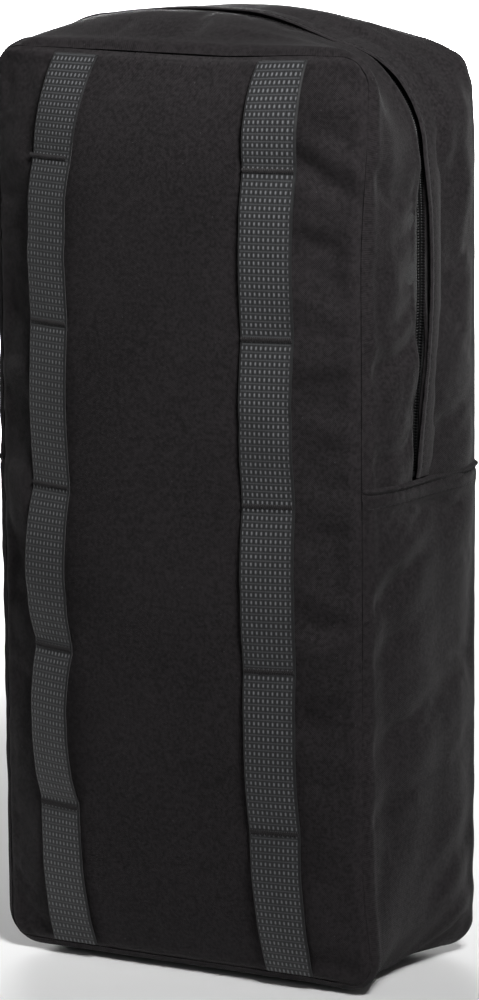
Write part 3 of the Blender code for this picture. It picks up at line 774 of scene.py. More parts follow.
def binding(name, point, reach, span, body, nodes, seed):
    """A bound seam: a band inside the hoop with a rounded fold and a stitched groove."""
    s = np.linspace(-reach, reach, FINE)[:, None]
    share = np.linspace(0, 1, 12)[None, :]
    y = span[0] + (span[1] - span[0]) * share + 0 * s
    wave = 0.00018 * lumps(s * 2.5, y, 0.01, seed) + 0 * y
    grid = point(s + 0 * y, y, BINDING_INWARD)
    rounded = -0.00035 * (1 - smooth_step(np.minimum(y - span[0], span[1] - y), 0, 0.0012))
    stitched = -0.0003 * hump(y, (span[0] + span[1]) / 2, 0.0009)
    sign, relief = (1, upper_relief) if point is upper_point else (-1, lower_relief)
    creases = np.minimum(relief(s, y), CREASE_FOLLOWED)
    grid = grid + sign * normals_of(grid) * (creases + np.minimum(wave + rounded + stitched, 0.0))[..., None]
    edge = np.minimum(y - span[0], span[1] - y)
    piece = cloth_piece(name, grid, cut_of(s, y, edge), BINDING_THICK, [binding_tape], turn=sign)
    fix_to(body, piece, "binding_tape", *nodes)


front_span = (binding_low.y, binding_high.y)
rear_span = (rear_binding_low.y, rear_binding_high.y)
binding("binding_front_upper", upper_point, UPPER_REACH, front_span, "fold",
        ("front_binding_upper", "binding_fold_left", "binding_fold_right"), 51)
binding("binding_front_lower", lower_point, LOWER_REACH - LAP, front_span, "pouch",
        ("front_binding_lower",), 52)
binding("binding_back_upper", upper_point, UPPER_REACH - 0.006, rear_span, "pouch",
        ("back_binding_upper",), 53)
binding("binding_back_lower", lower_point, LOWER_REACH - 0.0005, rear_span, "pouch",
        ("back_binding_lower",), 54)

# ------------------------------------------------------------------------------ zip and its tapes
# A black nylon coil zip runs in one line up the left side, over the top and down the right. Each
# row is one filament wound into a flat coil and sewn to a knitted tape, which is sewn under the
# edge of its gusset. A crimped metal stop closes each end.
coil_low, coil_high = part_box("zip_coil_rear")
tape_low, tape_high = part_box("zip_tape_rear")
COIL_START = coil_low.z
COIL_WIDTH = coil_high.y - coil_low.y
COIL_NEAR = coil_low.y - ZIP
COIL_THICK = 0.0020
COIL_DEPTH = CLOTH + SEAM_GAP + COIL_THICK / 2
TAPE_NEAR = tape_low.y - ZIP
TAPE_WIDTH = tape_high.y - tape_low.y
TAPE_THICK = 0.0008
TAPE_MEET = 0.00008
ZIP_REACH = UPPER_REACH - (COIL_START - TUCK)
FILAMENT = 0.00036
COIL_MEET = 0.0001
COIL_PITCH = 0.00135

# Painted shade: the tape is black, but its colours are set darker than the cloth's to stand in for the shadow
# in the slot under the flap.
zip_tape_cloth = woven_cloth("zip_tape_cloth", (0.0022, 0.0022, 0.0024), (0.0075, 0.0075, 0.0079),
                             0.0004, 0.7, 0.12, 0.00015)

# Painted shade: the coil is black nylon, but its colours are set darker than the cloth's to stand in for the
# shadow in the slot under the flap.
coil = Finish("coil_nylon")
drawn_nylon = coil.noise(260.0, 2.0)
coil_nylon = coil.shade({
    "Base Color": coil.tint(drawn_nylon, (0.0025, 0.0025, 0.0027, 1), (0.011, 0.011, 0.0115, 1)),
    "Roughness": coil.ranged(drawn_nylon, 0.0, 1.0, 0.22, 0.42),
    "Specular IOR Level": 0.25,
})


def tube(path, side, radius, sides):
    """Points and faces of a round tube along a path, with a side direction at each point."""
    tangent = np.gradient(path, axis=0)
    tangent /= np.maximum(np.linalg.norm(tangent, axis=1, keepdims=True), 1e-12)
    first = side - (side * tangent).sum(1, keepdims=True) * tangent
    first /= np.maximum(np.linalg.norm(first, axis=1, keepdims=True), 1e-12)
    second = np.cross(tangent, first)
    angle = np.arange(sides) * 2 * math.pi / sides
    ring = first[:, None, :] * np.cos(angle)[None, :, None]
    ring = ring + second[:, None, :] * np.sin(angle)[None, :, None]
    radius = np.broadcast_to(np.asarray(radius, float), (len(path),))
    points = path[:, None, :] + ring * radius[:, None, None]
    index = np.arange(len(path) * sides).reshape(len(path), sides)
    after = np.roll(index, -1, axis=1)
    faces = np.stack([index[:-1], after[:-1], after[1:], index[1:]], axis=-1).reshape(-1, 4).tolist()
    faces += [index[0, ::-1].tolist(), index[-1].tolist()]
    return points.reshape(-1, 3), faces


def solid_of(name, parts, material, cut=None):
    """One object from several lists of points and faces."""
    points = []
    faces = []
    start = 0
    for some_points, some_faces in parts:
        points.append(some_points)
        faces += [[start + corner for corner in face] for face in some_faces]
        start += len(some_points)
    points = np.concatenate(points)
    mesh = bpy.data.meshes.new(name)
    mesh.from_pydata(points.tolist(), [], faces)
    store = mesh.attributes.new("cut", "FLOAT_VECTOR", "POINT")
    place = points if cut is None else cut
    store.data.foreach_set("vector", np.asarray(place, float).ravel())
    mesh.materials.append(material)
    mesh.shade_smooth()
    mesh.set_sharp_from_angle(angle=math.radians(55))
    piece = bpy.data.objects.new(name, mesh)
    bpy.context.scene.collection.objects.link(piece)
    return piece


def coil_row(name, direction, body, nodes):
    """One row of the zip: a filament wound into a flat coil, meshed with the other row's.

    Down the left side, where the slider runs, the two rows stand apart."""
    turns = 2 * ZIP_REACH / COIL_PITCH
    t = np.linspace(0, 1, int(turns * 11))
    s = -ZIP_REACH + 2 * ZIP_REACH * t
    angle = t * turns * 2 * math.pi + (math.pi if direction > 0 else 0.0)
    on_left = smooth_step(-s, TOP_LENGTH / 2, TOP_LENGTH / 2 + BEND_LENGTH)
    near = COIL_MEET + (COIL_NEAR - COIL_MEET) * on_left
    half_coil = (COIL_NEAR + COIL_WIDTH - near) / 2
    across = near + half_coil + (half_coil - FILAMENT) * np.cos(angle)
    depth = COIL_DEPTH + (COIL_THICK / 2 - FILAMENT) * np.sin(angle)
    path = upper_point(s, ZIP + direction * across, depth)
    on_line = np.full_like(s, ZIP)
    ahead = upper_point(s + 0.001, on_line, COIL_DEPTH) - upper_point(s - 0.001, on_line, COIL_DEPTH)
    piece = solid_of(name, [tube(slump(path), ahead, FILAMENT, sides=5)], coil_nylon)
    fix_to(body, piece, "zip_coil", *nodes)


coil_row("zip_coil_row_rear", 1, "pouch", ("zip_coil_rear",))
coil_row("zip_coil_row_front", -1, "fold",
         ("zip_coil_front", "zip_coil_fold_left", "zip_coil_fold_right"))


def zip_tape(name, direction, body, nodes, seed):
    """One tape of the zip: knitted, and set aside by the coil's thickness where it runs under the coil."""
    s = np.linspace(-ZIP_REACH, ZIP_REACH, FINE)[:, None]
    share = np.linspace(0, 1, 22)[None, :]
    across = TAPE_MEET + (TAPE_NEAR + TAPE_WIDTH - TAPE_MEET) * share
    y = ZIP + direction * across + 0 * s
    under_coil = 1 - smooth_step(across, TAPE_NEAR - 0.0006, TAPE_NEAR + 0.0002)
    grid = upper_point(s + 0 * y, y, COIL_DEPTH - TAPE_THICK / 2)
    grid -= normals_of(grid) * direction * (COIL_THICK / 2 + TAPE_THICK / 2) * under_coil[..., None]
    wave = 0.0001 * lumps(s * 2, y, 0.011, seed) - 0.0001
    grid = grid + direction * normals_of(grid) * wave[..., None]
    edge = np.minimum(share, 1 - share) * TAPE_WIDTH
    piece = cloth_piece(name, grid, cut_of(s, y, edge), TAPE_THICK, [zip_tape_cloth], turn=direction)
    fix_to(body, piece, "zip_tape", *nodes)


zip_tape("zip_tape_of_pouch", 1, "pouch", ("zip_tape_rear",), 61)
zip_tape("zip_tape_of_lid", -1, "fold",
         ("zip_tape_front", "zip_tape_fold_left", "zip_tape_fold_right"), 62)

zinc = Finish("black_lacquer")
scuffs = zinc.noise(330.0, 4.0)
bare = zinc.ranged(scuffs, 0.60, 0.72)
lacquer = zinc.shade({
    "Base Color": zinc.tint(bare, (0.018, 0.018, 0.019, 1), (0.085, 0.083, 0.080, 1)),
    "Metallic": 0.55,
    "Roughness": zinc.ranged(scuffs, 0.0, 1.0, 0.25, 0.5),
    "Normal": zinc.bump(scuffs, 0.25, 0.00006),
})

SIDES = (("left", -1), ("right", 1))
STOP_WIRE = 0.00078
STOP_END_INSET = 0.00045
STOP_CRIMP = 0.00025
for side_name, side in SIDES:
    stop_low, stop_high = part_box(f"zip_stop_{side_name}")
    middle = UPPER_REACH - ((stop_low.z + stop_high.z) / 2 - TUCK)
    half_stop = (stop_high.z - stop_low.z) / 2
    t = np.linspace(0, 1, 15)
    across = (stop_low.y - ZIP) + (stop_high.y - stop_low.y) * t
    parts = []
    for row in np.linspace(-1, 1, 3):
        s = np.full_like(t, side * middle + row * (half_stop - STOP_END_INSET))
        crimp = STOP_CRIMP * np.cos(2 * math.pi * t)
        path = slump(upper_point(s, ZIP + across, COIL_DEPTH + crimp))
        up_side = np.tile([float(side), 0.0, 0.0], (len(t), 1))
        thickness = STOP_WIRE * np.clip(np.minimum(t, 1 - t) * 9, 0.35, 1) ** 0.5
        parts.append(tube(path, up_side, thickness, sides=8))
    stop = solid_of(f"zip_stop_crimp_{side_name}", parts, lacquer)
    fix_to("pouch", stop, "zip_metal", f"zip_stop_{side_name}")

# ---------------------------------------------------------------------------------- zip flap
# A strip of nylon folded in half lies over the zip against the rain. It is sewn into the rear
# gusset, and its folded edge is topstitched and lifts a little where the zip line gapes.
flap_low, flap_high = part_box("zip_flap")
FLAP_SEAM = flap_high.y - ZIP
FLAP_REACH = UPPER_REACH - (flap_low.z - TUCK)
FLAP_EDGE = flap_low.y - ZIP
FLAP_OVER = 0.0022
FLAP_SECTION = (
    (1.22, 0.10), (1.10, 0.55), (1.0, 1.05), (0.90, 1.55), (0.75, 2.0), (0.55, 2.25), (0.42, 2.25),
    (0.33, 2.0), (0.26, 2.2), (0.17, 2.55), (0.09, 2.6), (0.03, 2.35), (0.0, 1.8), (0.03, 1.2),
    (0.10, 0.85), (0.30, 0.75), (0.60, 0.7), (0.95, 0.35), (1.15, 0.0),
)


def loft(name, grid, cut, material):
    """A closed section carried along a path, with both ends filled."""
    rows, columns = grid.shape[:2]
    index = np.arange(rows * columns).reshape(rows, columns)
    after = np.roll(index, -1, axis=1)
    faces = np.stack([index[:-1], after[:-1], after[1:], index[1:]], axis=-1).reshape(-1, 4).tolist()
    faces += [index[0, ::-1].tolist(), index[-1].tolist()]
    return solid_of(name, [(grid.reshape(-1, 3), faces)], material, cut.reshape(-1, 3))


def flap_section(s):
    """The flap's section at each place along the hoop: depth behind the zip, and height."""
    section = np.array(FLAP_SECTION)
    left = (lip_at(s) - LIP_NARROW) / (LIP_WIDE - LIP_NARROW)
    reach_over = FLAP_OVER * (1 - left) * (1 - gape_at(s))
    free = FLAP_EDGE + (LIP_WIDE - LIP_NARROW) * left - reach_over
    across = free[:, None] + (FLAP_SEAM - free)[:, None] * section[None, :, 0]
    lift = 0.80 + 0.20 * np.maximum(gape_at(s), left) + 0.08 * lumps(s, 0 * s, 0.022, 71)
    curl = 0.0006 * gape_at(s)[:, None] * (1 - np.clip(section[None, :, 0], 0, 1)) ** 2
    height = 0.001 * section[None, :, 1] * lift[:, None] + curl
    pinch = smooth_step(FLAP_REACH - np.abs(s), 0.0, 0.006)[:, None]
    return across, height * (0.55 + 0.45 * pinch)


s = np.linspace(-FLAP_REACH, FLAP_REACH, 640)
across, height = flap_section(s)
outside = upper_point(s[:, None] + 0 * across, ZIP + across, -height)
ripple = 0.00025 * lumps(s[:, None] * 2.2, across, 0.010, 72)
outside[..., 1] += ripple
edge = np.minimum(np.abs(across - across.min(1, keepdims=True)), 0.004)
flap_cut = np.stack([s[:, None] + 0 * across, across, edge], axis=-1)
flap = loft("zip_flap_cloth", slump(outside), flap_cut, shell_cloth)
fix_to("pouch", flap, "shell_cloth", "zip_flap")

# ---------------------------------------------------------------------------- slider and pull
# A lacquered zinc slider parks low on the left side, with a row of coil on each side of its post. A
# stamped pull hangs by its eye from a bail that is cast on the slider's back.
def block(outline, near, far, bevel):
    """A plate across X from an outline in Y and Z, with its edges rounded."""
    build = bmesh.new()
    verts = [build.verts.new((near, y, z)) for y, z in outline]
    face = build.faces.new(verts)
    made = bmesh.ops.extrude_face_region(build, geom=[face])
    for element in made["geom"]:
        if isinstance(element, bmesh.types.BMVert):
            element.co.x = far
    bmesh.ops.recalc_face_normals(build, faces=build.faces)
    bmesh.ops.bevel(build, geom=list(build.edges), offset=bevel, segments=3, profile=0.6, affect="EDGES",
                    clamp_overlap=True)
    build.verts.index_update()
    points = np.array([tuple(vert.co) for vert in build.verts])
    faces = [[vert.index for vert in face.verts] for face in build.faces]
    build.free()
    return points, faces


def round_outline(half_wide, low, high, corner, taper=1.0, steps=5):
    """A rounded oblong in Y and Z whose lower end is narrower by a factor."""
    outline = []
    for index, (side, end) in enumerate(((1, 1), (-1, 1), (-1, -1), (1, -1))):
        wide = half_wide * (taper if end < 0 else 1.0)
        centre = (side * (wide - corner), (high - corner) if end > 0 else (low + corner))
        for step in range(steps + 1):
            angle = math.pi / 2 * (index + step / steps)
            outline.append((centre[0] + corner * math.cos(angle), centre[1] + corner * math.sin(angle)))
    return outline


def put(piece_parts, place):
    """Parts moved to their place."""
    return [(points + np.array(place), faces) for points, faces in piece_parts]


slider_low, slider_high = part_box("zip_slider")
slider_place = [(slider_low[axis] + slider_high[axis]) / 2 for axis in range(3)]
SLIDER_REACH = (slider_high.x - slider_low.x) / 2
SLIDER_HALF = (slider_high.y - slider_low.y) / 2
SLIDER_LONG = (slider_high.z - slider_low.z) / 2
PLATE = 0.001
parts = []
for face in (-1, 1):
    near, far = sorted((face * SLIDER_REACH, face * (SLIDER_REACH - PLATE)))
    plate = round_outline(SLIDER_HALF, -SLIDER_LONG, SLIDER_LONG, 0.0022, 0.74)
    parts.append(block(plate, near, far, 0.00022))
post = round_outline(0.0004, SLIDER_LONG - 0.004, SLIDER_LONG - 0.001, 0.00035)
parts.append(block(post, -SLIDER_REACH + PLATE / 2, SLIDER_REACH - PLATE / 2, 0.00005))
rib = round_outline(0.0012, -SLIDER_LONG * 0.86, SLIDER_LONG * 0.86, 0.0010)
parts.append(block(rib, -SLIDER_REACH - 0.00025, -SLIDER_REACH + PLATE / 2, 0.00012))
slider = solid_of("slider_body", put(parts, slider_place), lacquer)
fix_to("slider", slider, "zip_metal", "zip_slider")

bail_low, bail_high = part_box("slider_bail")
BAIL_WIRE = 0.00055
t = np.linspace(0, 1, 25)
half_bail = (bail_high.z - bail_low.z) / 2 - BAIL_WIRE
bail_rise = bail_high.x - bail_low.x - BAIL_WIRE
arch = np.clip(np.sin(t * math.pi) * 2.4, 0, 1) ** 0.8
path = np.stack([bail_high.x - bail_rise * arch, np.full_like(t, slider_place[1]),
                 (bail_low.z + bail_high.z) / 2 - half_bail * np.cos(t * math.pi)], axis=-1)
side = np.tile([0.0, 1.0, 0.0], (len(t), 1))
bail_parts = []
for offset in np.linspace(-BAIL_WIRE, BAIL_WIRE, 3):
    bail_parts.append(tube(path + np.array([0, offset, 0]), side, 0.00054, sides=8))
bail = solid_of("bail_arch", bail_parts, lacquer)
fix_to("slider", bail, "zip_metal", "slider_bail")

pull_low, pull_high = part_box("zip_pull")
pull_middle = (pull_low.x + pull_high.x) / 2
half_pull = (pull_high.y - pull_low.y) / 2
half_thick = (pull_high.x - pull_low.x) / 2
pull_top = pull_high.z
pull_length = pull_high.z - pull_low.z
EYE = 0.0072
EYE_LAP = 0.0012
ARM = half_pull - 0.0014
pull_parts = []
for arm in (-1, 1):
    outline = [(arm * ARM, -EYE - EYE_LAP), (arm * half_pull, -EYE - EYE_LAP), (arm * half_pull, -0.0005),
               (arm * (half_pull - 0.0005), 0.0), (arm * ARM, 0.0)]
    pull_parts.append(block(outline if arm > 0 else outline[::-1], -half_thick, half_thick, 0.0002))
bar = round_outline(half_pull - 0.0003, -0.0012, -0.0001, 0.0004)
pull_parts.append(block(bar, -half_thick * 0.9, half_thick * 0.9, 0.0002))
blade = round_outline(half_pull, -pull_length, -EYE, 0.0013, 0.78)
pull_parts.append(block(blade, -half_thick, half_thick, 0.0003))
inner_blade = round_outline(half_pull * 0.62, -pull_length + 0.0018, -EYE - 0.0018, 0.0010, 0.8)
for face in (-1, 1):
    near, far = sorted((face * (half_thick - 0.0001), face * (half_thick + 0.00018)))
    pull_parts.append(block(inner_blade, near, far, 0.00008))
pull = solid_of("pull_tab", put(pull_parts, (pull_middle, slider_place[1], pull_top)), lacquer)
fix_to("pull", pull, "zip_metal", "zip_pull")

# ------------------------------------------------------------------------------- topstitching
# Lockstitch rows in bonded black thread: along the flap beside its folded edge, along the front
# edge of the zip, twice across each hem of the lower gusset, and round the back panel.
THREAD = 0.00022
STITCH = 0.0031
STITCH_GAP = 0.0006

spun = Finish("bonded_thread")
twist = spun.noise(1500.0, 2.0)
bonded_thread = spun.shade({
    "Base Color": spun.tint(twist, (0.0045, 0.0042, 0.0044, 1), (0.024, 0.022, 0.023, 1)),
    "Roughness": spun.ranged(twist, 0.0, 1.0, 0.35, 0.6),
    "Specular IOR Level": 0.12,
    "Sheen Weight": 0.05,
})


def run_of(line):
    """How far along a line each of its points is."""
    return np.concatenate([[0], np.cumsum(np.linalg.norm(np.diff(line, axis=0), axis=1))])


def read_at(place, length, values):
    """Vectors along a line read at new places."""
    columns = [np.interp(place, length, values[:, axis]) for axis in range(values.shape[1])]
    return np.stack(columns, axis=-1)


def stitch_row(line, out):
    """A row of stitches along a dense line of points, each one dipping into the cloth at its ends."""
    length = run_of(line)
    count = int(length[-1] / (STITCH + STITCH_GAP))
    parts = []
    along = np.array([-0.5, -0.40, -0.2, 0.0, 0.2, 0.40, 0.5]) * STITCH
    rise = np.array([-1.1, -0.2, 0.25, 0.4, 0.25, -0.2, -1.1]) * THREAD
    for number in range(count):
        place = (number + 0.5) * (STITCH + STITCH_GAP) + along
        away = read_at(place, length, out)
        centre = read_at(place, length, line)
        parts.append(tube(centre + away * rise[:, None], away, THREAD, sides=5))
    return parts


FLAP_STITCHES = 7
s = np.linspace(-FLAP_REACH + 0.002, FLAP_REACH - 0.002, 900)
across, height = flap_section(s)
y = ZIP + across[:, FLAP_STITCHES]
lift = height[:, FLAP_STITCHES]
line = upper_point(s, y, -lift)
out = upper_point(s, y, -lift - 0.001) - line
out /= np.linalg.norm(out, axis=1, keepdims=True)
flap_thread = solid_of("flap_topstitching", stitch_row(slump(line), out), bonded_thread)
fix_to("pouch", flap_thread, "thread")


def surface_line(point, relief, s, y):
    """A line on the creased surface of a hoop."""
    step = 0.0006
    ahead = point(s + step, y) - point(s - step, y)
    across = point(s, y + step) - point(s, y - step)
    out = np.cross(ahead, across)
    out /= np.linalg.norm(out, axis=1, keepdims=True)
    if point is lower_point:
        out = -out
    return point(s, y) + out * relief(s, y)[:, None], out


LIP_STITCH = 0.0028
END_OF_ROW = 0.016
s = np.linspace(-UPPER_REACH + END_OF_ROW, UPPER_REACH - END_OF_ROW, 900)
y = ZIP - lip_at(s) - GAPE * gape_at(s) - LIP_STITCH
line, out = surface_line(upper_point, upper_relief, s, y)
lip_thread = solid_of("zip_topstitching_front", stitch_row(slump(line), out), bonded_thread)
fix_to("fold", lip_thread, "thread")

HEM_ROWS = (0.0034, 0.0092)
hem_parts = []
for side in (-1, 1):
    for drop in HEM_ROWS:
        y = np.linspace(FRONT + 0.002, BACK - 0.003, 140)
        s = np.full_like(y, side * (LOWER_REACH - drop))
        line, out = surface_line(lower_point, lower_relief, s, y)
        hem_parts += stitch_row(slump(line), out)
hem_thread = solid_of("hem_topstitching", hem_parts, bonded_thread)
fix_to("pouch", hem_thread, "thread")

ring_inset = SEAM_INSET + BACK_STITCH
ring = round_outline(HALF - ring_inset, LOW + ring_inset, HIGH - ring_inset, PANEL_CORNER, steps=12)
ring = np.array(ring + ring[:1])
length = run_of(ring)
ring = read_at(np.linspace(0, length[-1], 1200), length, ring)
line = np.stack([ring[:, 0], np.full(len(ring), BACK + 0.00005), ring[:, 1]], axis=-1)
out = np.tile([0.0, 1.0, 0.0], (len(line), 1))
back_thread = solid_of("back_topstitching", stitch_row(slump(line), out), bonded_thread)
fix_to("pouch", back_thread, "thread")

# ---------------------------------------------------------------------------- webbing ladders
# Two ladders of 25 mm ribbed nylon webbing run down the front, caught in the top and bottom seams
# and bartacked at five places, so that loops are left between the tacks. Two loops of the left
# ladder have been pulled open.
WEB_THICK = 0.0015
WEB_SEAT = 0.0006
WEB_RISE = 0.0022
OPEN_RISE = 0.0068
TACK_FLAT = 0.003
ROW_PITCH = 0.0037
YARN_PITCH = WEB_WIDTH / 11
LEFT_LEAN = 0.0090
OUTER_POINTS = 67
INNER_POINTS = 9
PULLED_OPEN = (1, 2)

# The rows and ribs are the weave of the black webbing, but the light dashes on the floating yarns are painted
# highlights: they stand in for the glints of the shiny filaments.
web = Finish("ribbed_webbing")
x, y, from_edge = web.flat_places()
fuzz = web.noise(700.0, 2.0)
row = web.calc("FRACT", web.calc("MULTIPLY", y, 1 / ROW_PITCH))
from_middle = web.calc("ABSOLUTE", web.calc("SUBTRACT", row, 0.5))
float_band = web.ranged(from_middle, 0.10, 0.30, 1.0, 0.0)
rib_band = web.ranged(from_middle, 0.37, 0.47, 0.0, 0.26)
yarns = web.calc("MULTIPLY", x, 2 * math.pi / YARN_PITCH)
float_dash_painted_highlight = web.ranged(web.calc("COSINE", yarns), 0.0, 0.95)
plies = web.calc("COSINE", web.calc("MULTIPLY", yarns, 3.0))
ribs = web.calc("ADD", web.calc("MULTIPLY", float_dash_painted_highlight, float_band), rib_band)
ribs = web.calc("ADD", ribs, web.ranged(plies, -1, 1, 0.0, 0.10))
ribs = web.calc("MULTIPLY", ribs, web.ranged(from_edge, 0.0009, 0.0013))
ribs = web.calc("MULTIPLY", ribs, web.ranged(web.noise(22.0, 2.0), 0.3, 0.7, 0.75, 1.1))
speckled = web.calc("MULTIPLY_ADD", fuzz, 0.08, ribs)
webbing = web.shade({
    # The light end of this tint is the painted highlight on the floats.
    "Base Color": web.tint(speckled, (0.0045, 0.0046, 0.0049, 1), (0.118, 0.121, 0.127, 1)),
    "Roughness": web.ranged(fuzz, 0.0, 1.0, 0.42, 0.68),
    "Specular IOR Level": 0.2,
    "Sheen Weight": 0.1,
    "Normal": web.bump(speckled, 0.6, 0.00018),
})

loop_ends = [LOW] + tack_heights + [HIGH]
loops = [(low + TACK_FLAT, high - TACK_FLAT) for low, high in zip(loop_ends, loop_ends[1:])]


def web_rise(x, z, open_loops):
    """How far the web stands off the panel: down at each tack, arched between them."""
    rise = np.zeros_like(z)
    for index, (low, high) in enumerate(loops):
        share = np.clip((z - low) / (high - low), 0, 1)
        top = OPEN_RISE if open_loops and index in PULLED_OPEN else WEB_RISE
        lean = 1 + 0.18 * np.sin(index * 2.3) * x / (WEB_WIDTH / 2)
        rise = rise + top * lean * np.sin(math.pi * share) ** 0.8
    return WEB_SEAT + rise


def ladder(side_name, side):
    """One ladder: the webbing's flat section with its ribs, carried up the front panel."""
    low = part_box(f"ladder_{side_name}_lower")[0].z
    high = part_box(f"ladder_{side_name}_upper")[1].z
    z = np.linspace(low, high, 900)[:, None]
    across = np.linspace(-1, 1, OUTER_POINTS)
    inner_across = np.linspace(0.93, -0.93, INNER_POINTS)
    x_share = np.concatenate([across, [1.0], inner_across, [-1.0]])[None, :]
    depth = np.concatenate([np.ones(OUTER_POINTS), [0.35], np.zeros(INNER_POINTS), [0.35]])[None, :]
    rounded = 1 - 0.30 * smooth_step(np.abs(across), 0.93, 1.0)
    rounded = np.concatenate([rounded, [1], np.ones(INNER_POINTS), [1]])[None, :]
    x_local = x_share * WEB_WIDTH / 2
    wander = 0.0003 * lumps(z, 0 * z, 0.03, 81 + side)
    if side < 0:
        wander = wander + LEFT_LEAN * smooth_step(z, HIGH - 0.085, HIGH + 0.012)
    x = side * WEB_CENTRE + x_local + wander
    row = (z / ROW_PITCH) % 1.0
    from_middle = np.abs(row - 0.5)
    band_height = 0.00012 * (1 - smooth_step(from_middle, 0.18, 0.30))
    band_height = band_height + 0.00008 * smooth_step(from_middle, 0.40, 0.48)
    columns = 0.00009 * np.cos(2 * math.pi * x_local / YARN_PITCH) * (1 - smooth_step(from_middle, 0.2, 0.3))
    inside = 1 - smooth_step(np.abs(x_local), WEB_WIDTH / 2 - 0.0013, WEB_WIDTH / 2 - 0.0008)
    ribs = (band_height + columns - 0.00012) * inside * (depth > 0.9)
    edge_wave = 0.0005 * lumps(z * 1.3, x_share * 0 + side, 0.012, 83) * np.abs(x_share) ** 3
    z_all = z + 0 * x_local
    off_panel = np.clip(web_rise(x_local, z_all, False) / WEB_RISE, 0, 1)
    rise = web_rise(x_local, z_all, side < 0) + edge_wave * off_panel
    out = bulge(x, z) + rise + WEB_THICK * depth * rounded + ribs
    grid = np.stack([x + 0 * z, FRONT - out, z + 0 * x], axis=-1)
    rim = (WEB_WIDTH / 2 - np.abs(x_local)) * (depth > 0.9) + 0 * z
    cut = np.stack([x_local + 0 * z, z + 0 * x_local, rim], axis=-1)
    piece = loft(f"webbing_ladder_{side_name}", slump(grid), cut, webbing)
    nodes = [f"ladder_{side_name}_{part}" for part in ("lower", "fold", "upper")]
    fix_to("fold", piece, "webbing", *nodes)


for side_name, side in SIDES:
    ladder(side_name, side)

# --------------------------------------------------------------------------------- bartacks
# Each tack is a dense zigzag of bonded thread across the full width of the webbing, sewn through
# it, the panel and a patch behind.
TACK_THREAD = 0.00026
TACK_TURNS = 27
TACK_ENDS = 0.0006
TACK_BODIES = ("pouch", "pouch", "pouch", "fold", "lid")
for side_name, side in SIDES:
    for number, (height, body) in enumerate(zip(tack_heights, TACK_BODIES), start=1):
        tack_low, tack_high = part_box(f"bartack_{side_name}_{number}")
        half_height = (tack_high.z - tack_low.z) / 2 - TACK_THREAD
        t = np.linspace(0, 1, TACK_TURNS * 8 + 1)
        swing = np.clip(1.6 * np.sin(t * TACK_TURNS * 2 * math.pi), -1, 1)
        x = side * WEB_CENTRE + (t - 0.5) * (WEB_WIDTH - 2 * TACK_ENDS)
        z = height + half_height * swing
        piled = 0.7 + 0.9 * (1 - swing**2) + 0.3 * lumps(x, z, 0.002, 90 + number)
        rise = WEB_SEAT + WEB_THICK + TACK_THREAD * piled
        path = np.stack([x, FRONT - bulge(x, z) - rise, z], axis=-1)
        away = np.tile([0.0, -1.0, 0.0], (len(t), 1))
        parts = [tube(slump(path), away, TACK_THREAD, sides=5)]
        for bar in (-0.5, 0.0, 0.5):
            z = height + half_height * bar + 0 * t
            path = np.stack([x, FRONT - bulge(x, z) - WEB_SEAT - WEB_THICK - TACK_THREAD * 0.5, z], axis=-1)
            parts.append(tube(slump(path), away, TACK_THREAD, sides=5))
        tack = solid_of(f"tack_zigzag_{side_name}_{number}", parts, bonded_thread)
        fix_to(body, tack, "thread", f"bartack_{side_name}_{number}")

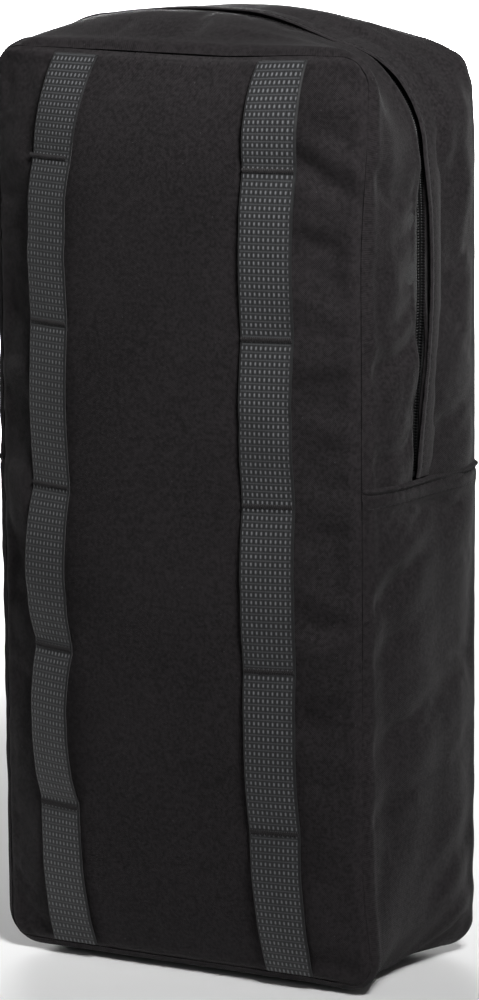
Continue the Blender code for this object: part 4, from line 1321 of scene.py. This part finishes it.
# ---------------------------------------------------------------------------------- studio
# A plain pale floor, a dim pale room and four soft lamps: a narrow one above on the front right, a
# large one that lights the floor behind, and a weak one on the left and at the back.
camera_data = bpy.data.cameras.new("camera")
camera_data.sensor_width = 36.0
camera_data.lens = 205.9
camera_data.clip_end = 50
camera = bpy.data.objects.new("camera", camera_data)
bpy.context.scene.collection.objects.link(camera)
AZIMUTH = math.radians(30.83)
ELEVATION = math.radians(10.53)
ROLL = math.radians(-0.5)
DISTANCE = 2.801
aim = np.array([0.0034, 0.0, 0.2271])
forward = np.array([-math.sin(AZIMUTH) * math.cos(ELEVATION), math.cos(AZIMUTH) * math.cos(ELEVATION),
                    -math.sin(ELEVATION)])
right = np.cross(forward, [0, 0, 1])
right /= np.linalg.norm(right)
up = np.cross(right, forward)
rolled_right = math.cos(ROLL) * right + math.sin(ROLL) * up
rolled_up = -math.sin(ROLL) * right + math.cos(ROLL) * up
placed = np.eye(4)
placed[:3, 0] = rolled_right
placed[:3, 1] = rolled_up
placed[:3, 2] = -forward
placed[:3, 3] = aim - forward * DISTANCE
camera.matrix_world = Matrix(placed.tolist())
bpy.context.scene.camera = camera

floor_mesh = bpy.data.meshes.new("floor")
WIDE = 14.0
floor_corners = [(-WIDE, -WIDE, 0), (WIDE, -WIDE, 0), (WIDE, WIDE, 0), (-WIDE, WIDE, 0)]
floor_mesh.from_pydata(floor_corners, [], [(0, 1, 2, 3)])
floor = bpy.data.objects.new("floor", floor_mesh)
bpy.context.scene.collection.objects.link(floor)
floor.location.z = low_gusset_low.z - 0.0002
pale_floor = Finish("pale_floor").shade({"Base Color": (0.92, 0.92, 0.92, 1), "Roughness": 0.9})
floor_mesh.materials.append(pale_floor)

world = bpy.data.worlds.new("pale_room")
bpy.context.scene.world = world
world.use_nodes = True
world.node_tree.nodes["Background"].inputs[0].default_value = (1, 1, 1, 1)
world.node_tree.nodes["Background"].inputs[1].default_value = 0.12
bpy.context.scene.view_settings.view_transform = "Standard"


def soft_lamp(name, place, toward, size, power, spread_angle):
    """A round lamp of this size, power and spread, pointed at a place."""
    data = bpy.data.lights.new(name, "AREA")
    data.shape = "DISK"
    data.size = size
    data.energy = power
    data.spread = math.radians(spread_angle)
    lamp = bpy.data.objects.new(name, data)
    bpy.context.scene.collection.objects.link(lamp)
    lamp.visible_camera = False
    lamp.location = place
    lamp.rotation_euler = (Vector(toward) - Vector(place)).to_track_quat("-Z", "Y").to_euler()


soft_lamp("key", (0.98, -0.80, 1.38), (0, 0, 0.47), 0.5, 3.5, 46)
soft_lamp("floor_lamp", (-1.72, 2.9, 2.4), (-1.72, 2.9, 0), 2.4, 260, 92)
soft_lamp("left", (-2.0, -1.6, 1.2), (0, 0, 0.25), 1.2, 2.5, 180)
soft_lamp("back", (-1.25, 1.80, 0.44), (0, 0, 0.25), 0.8, 4.0, 44)
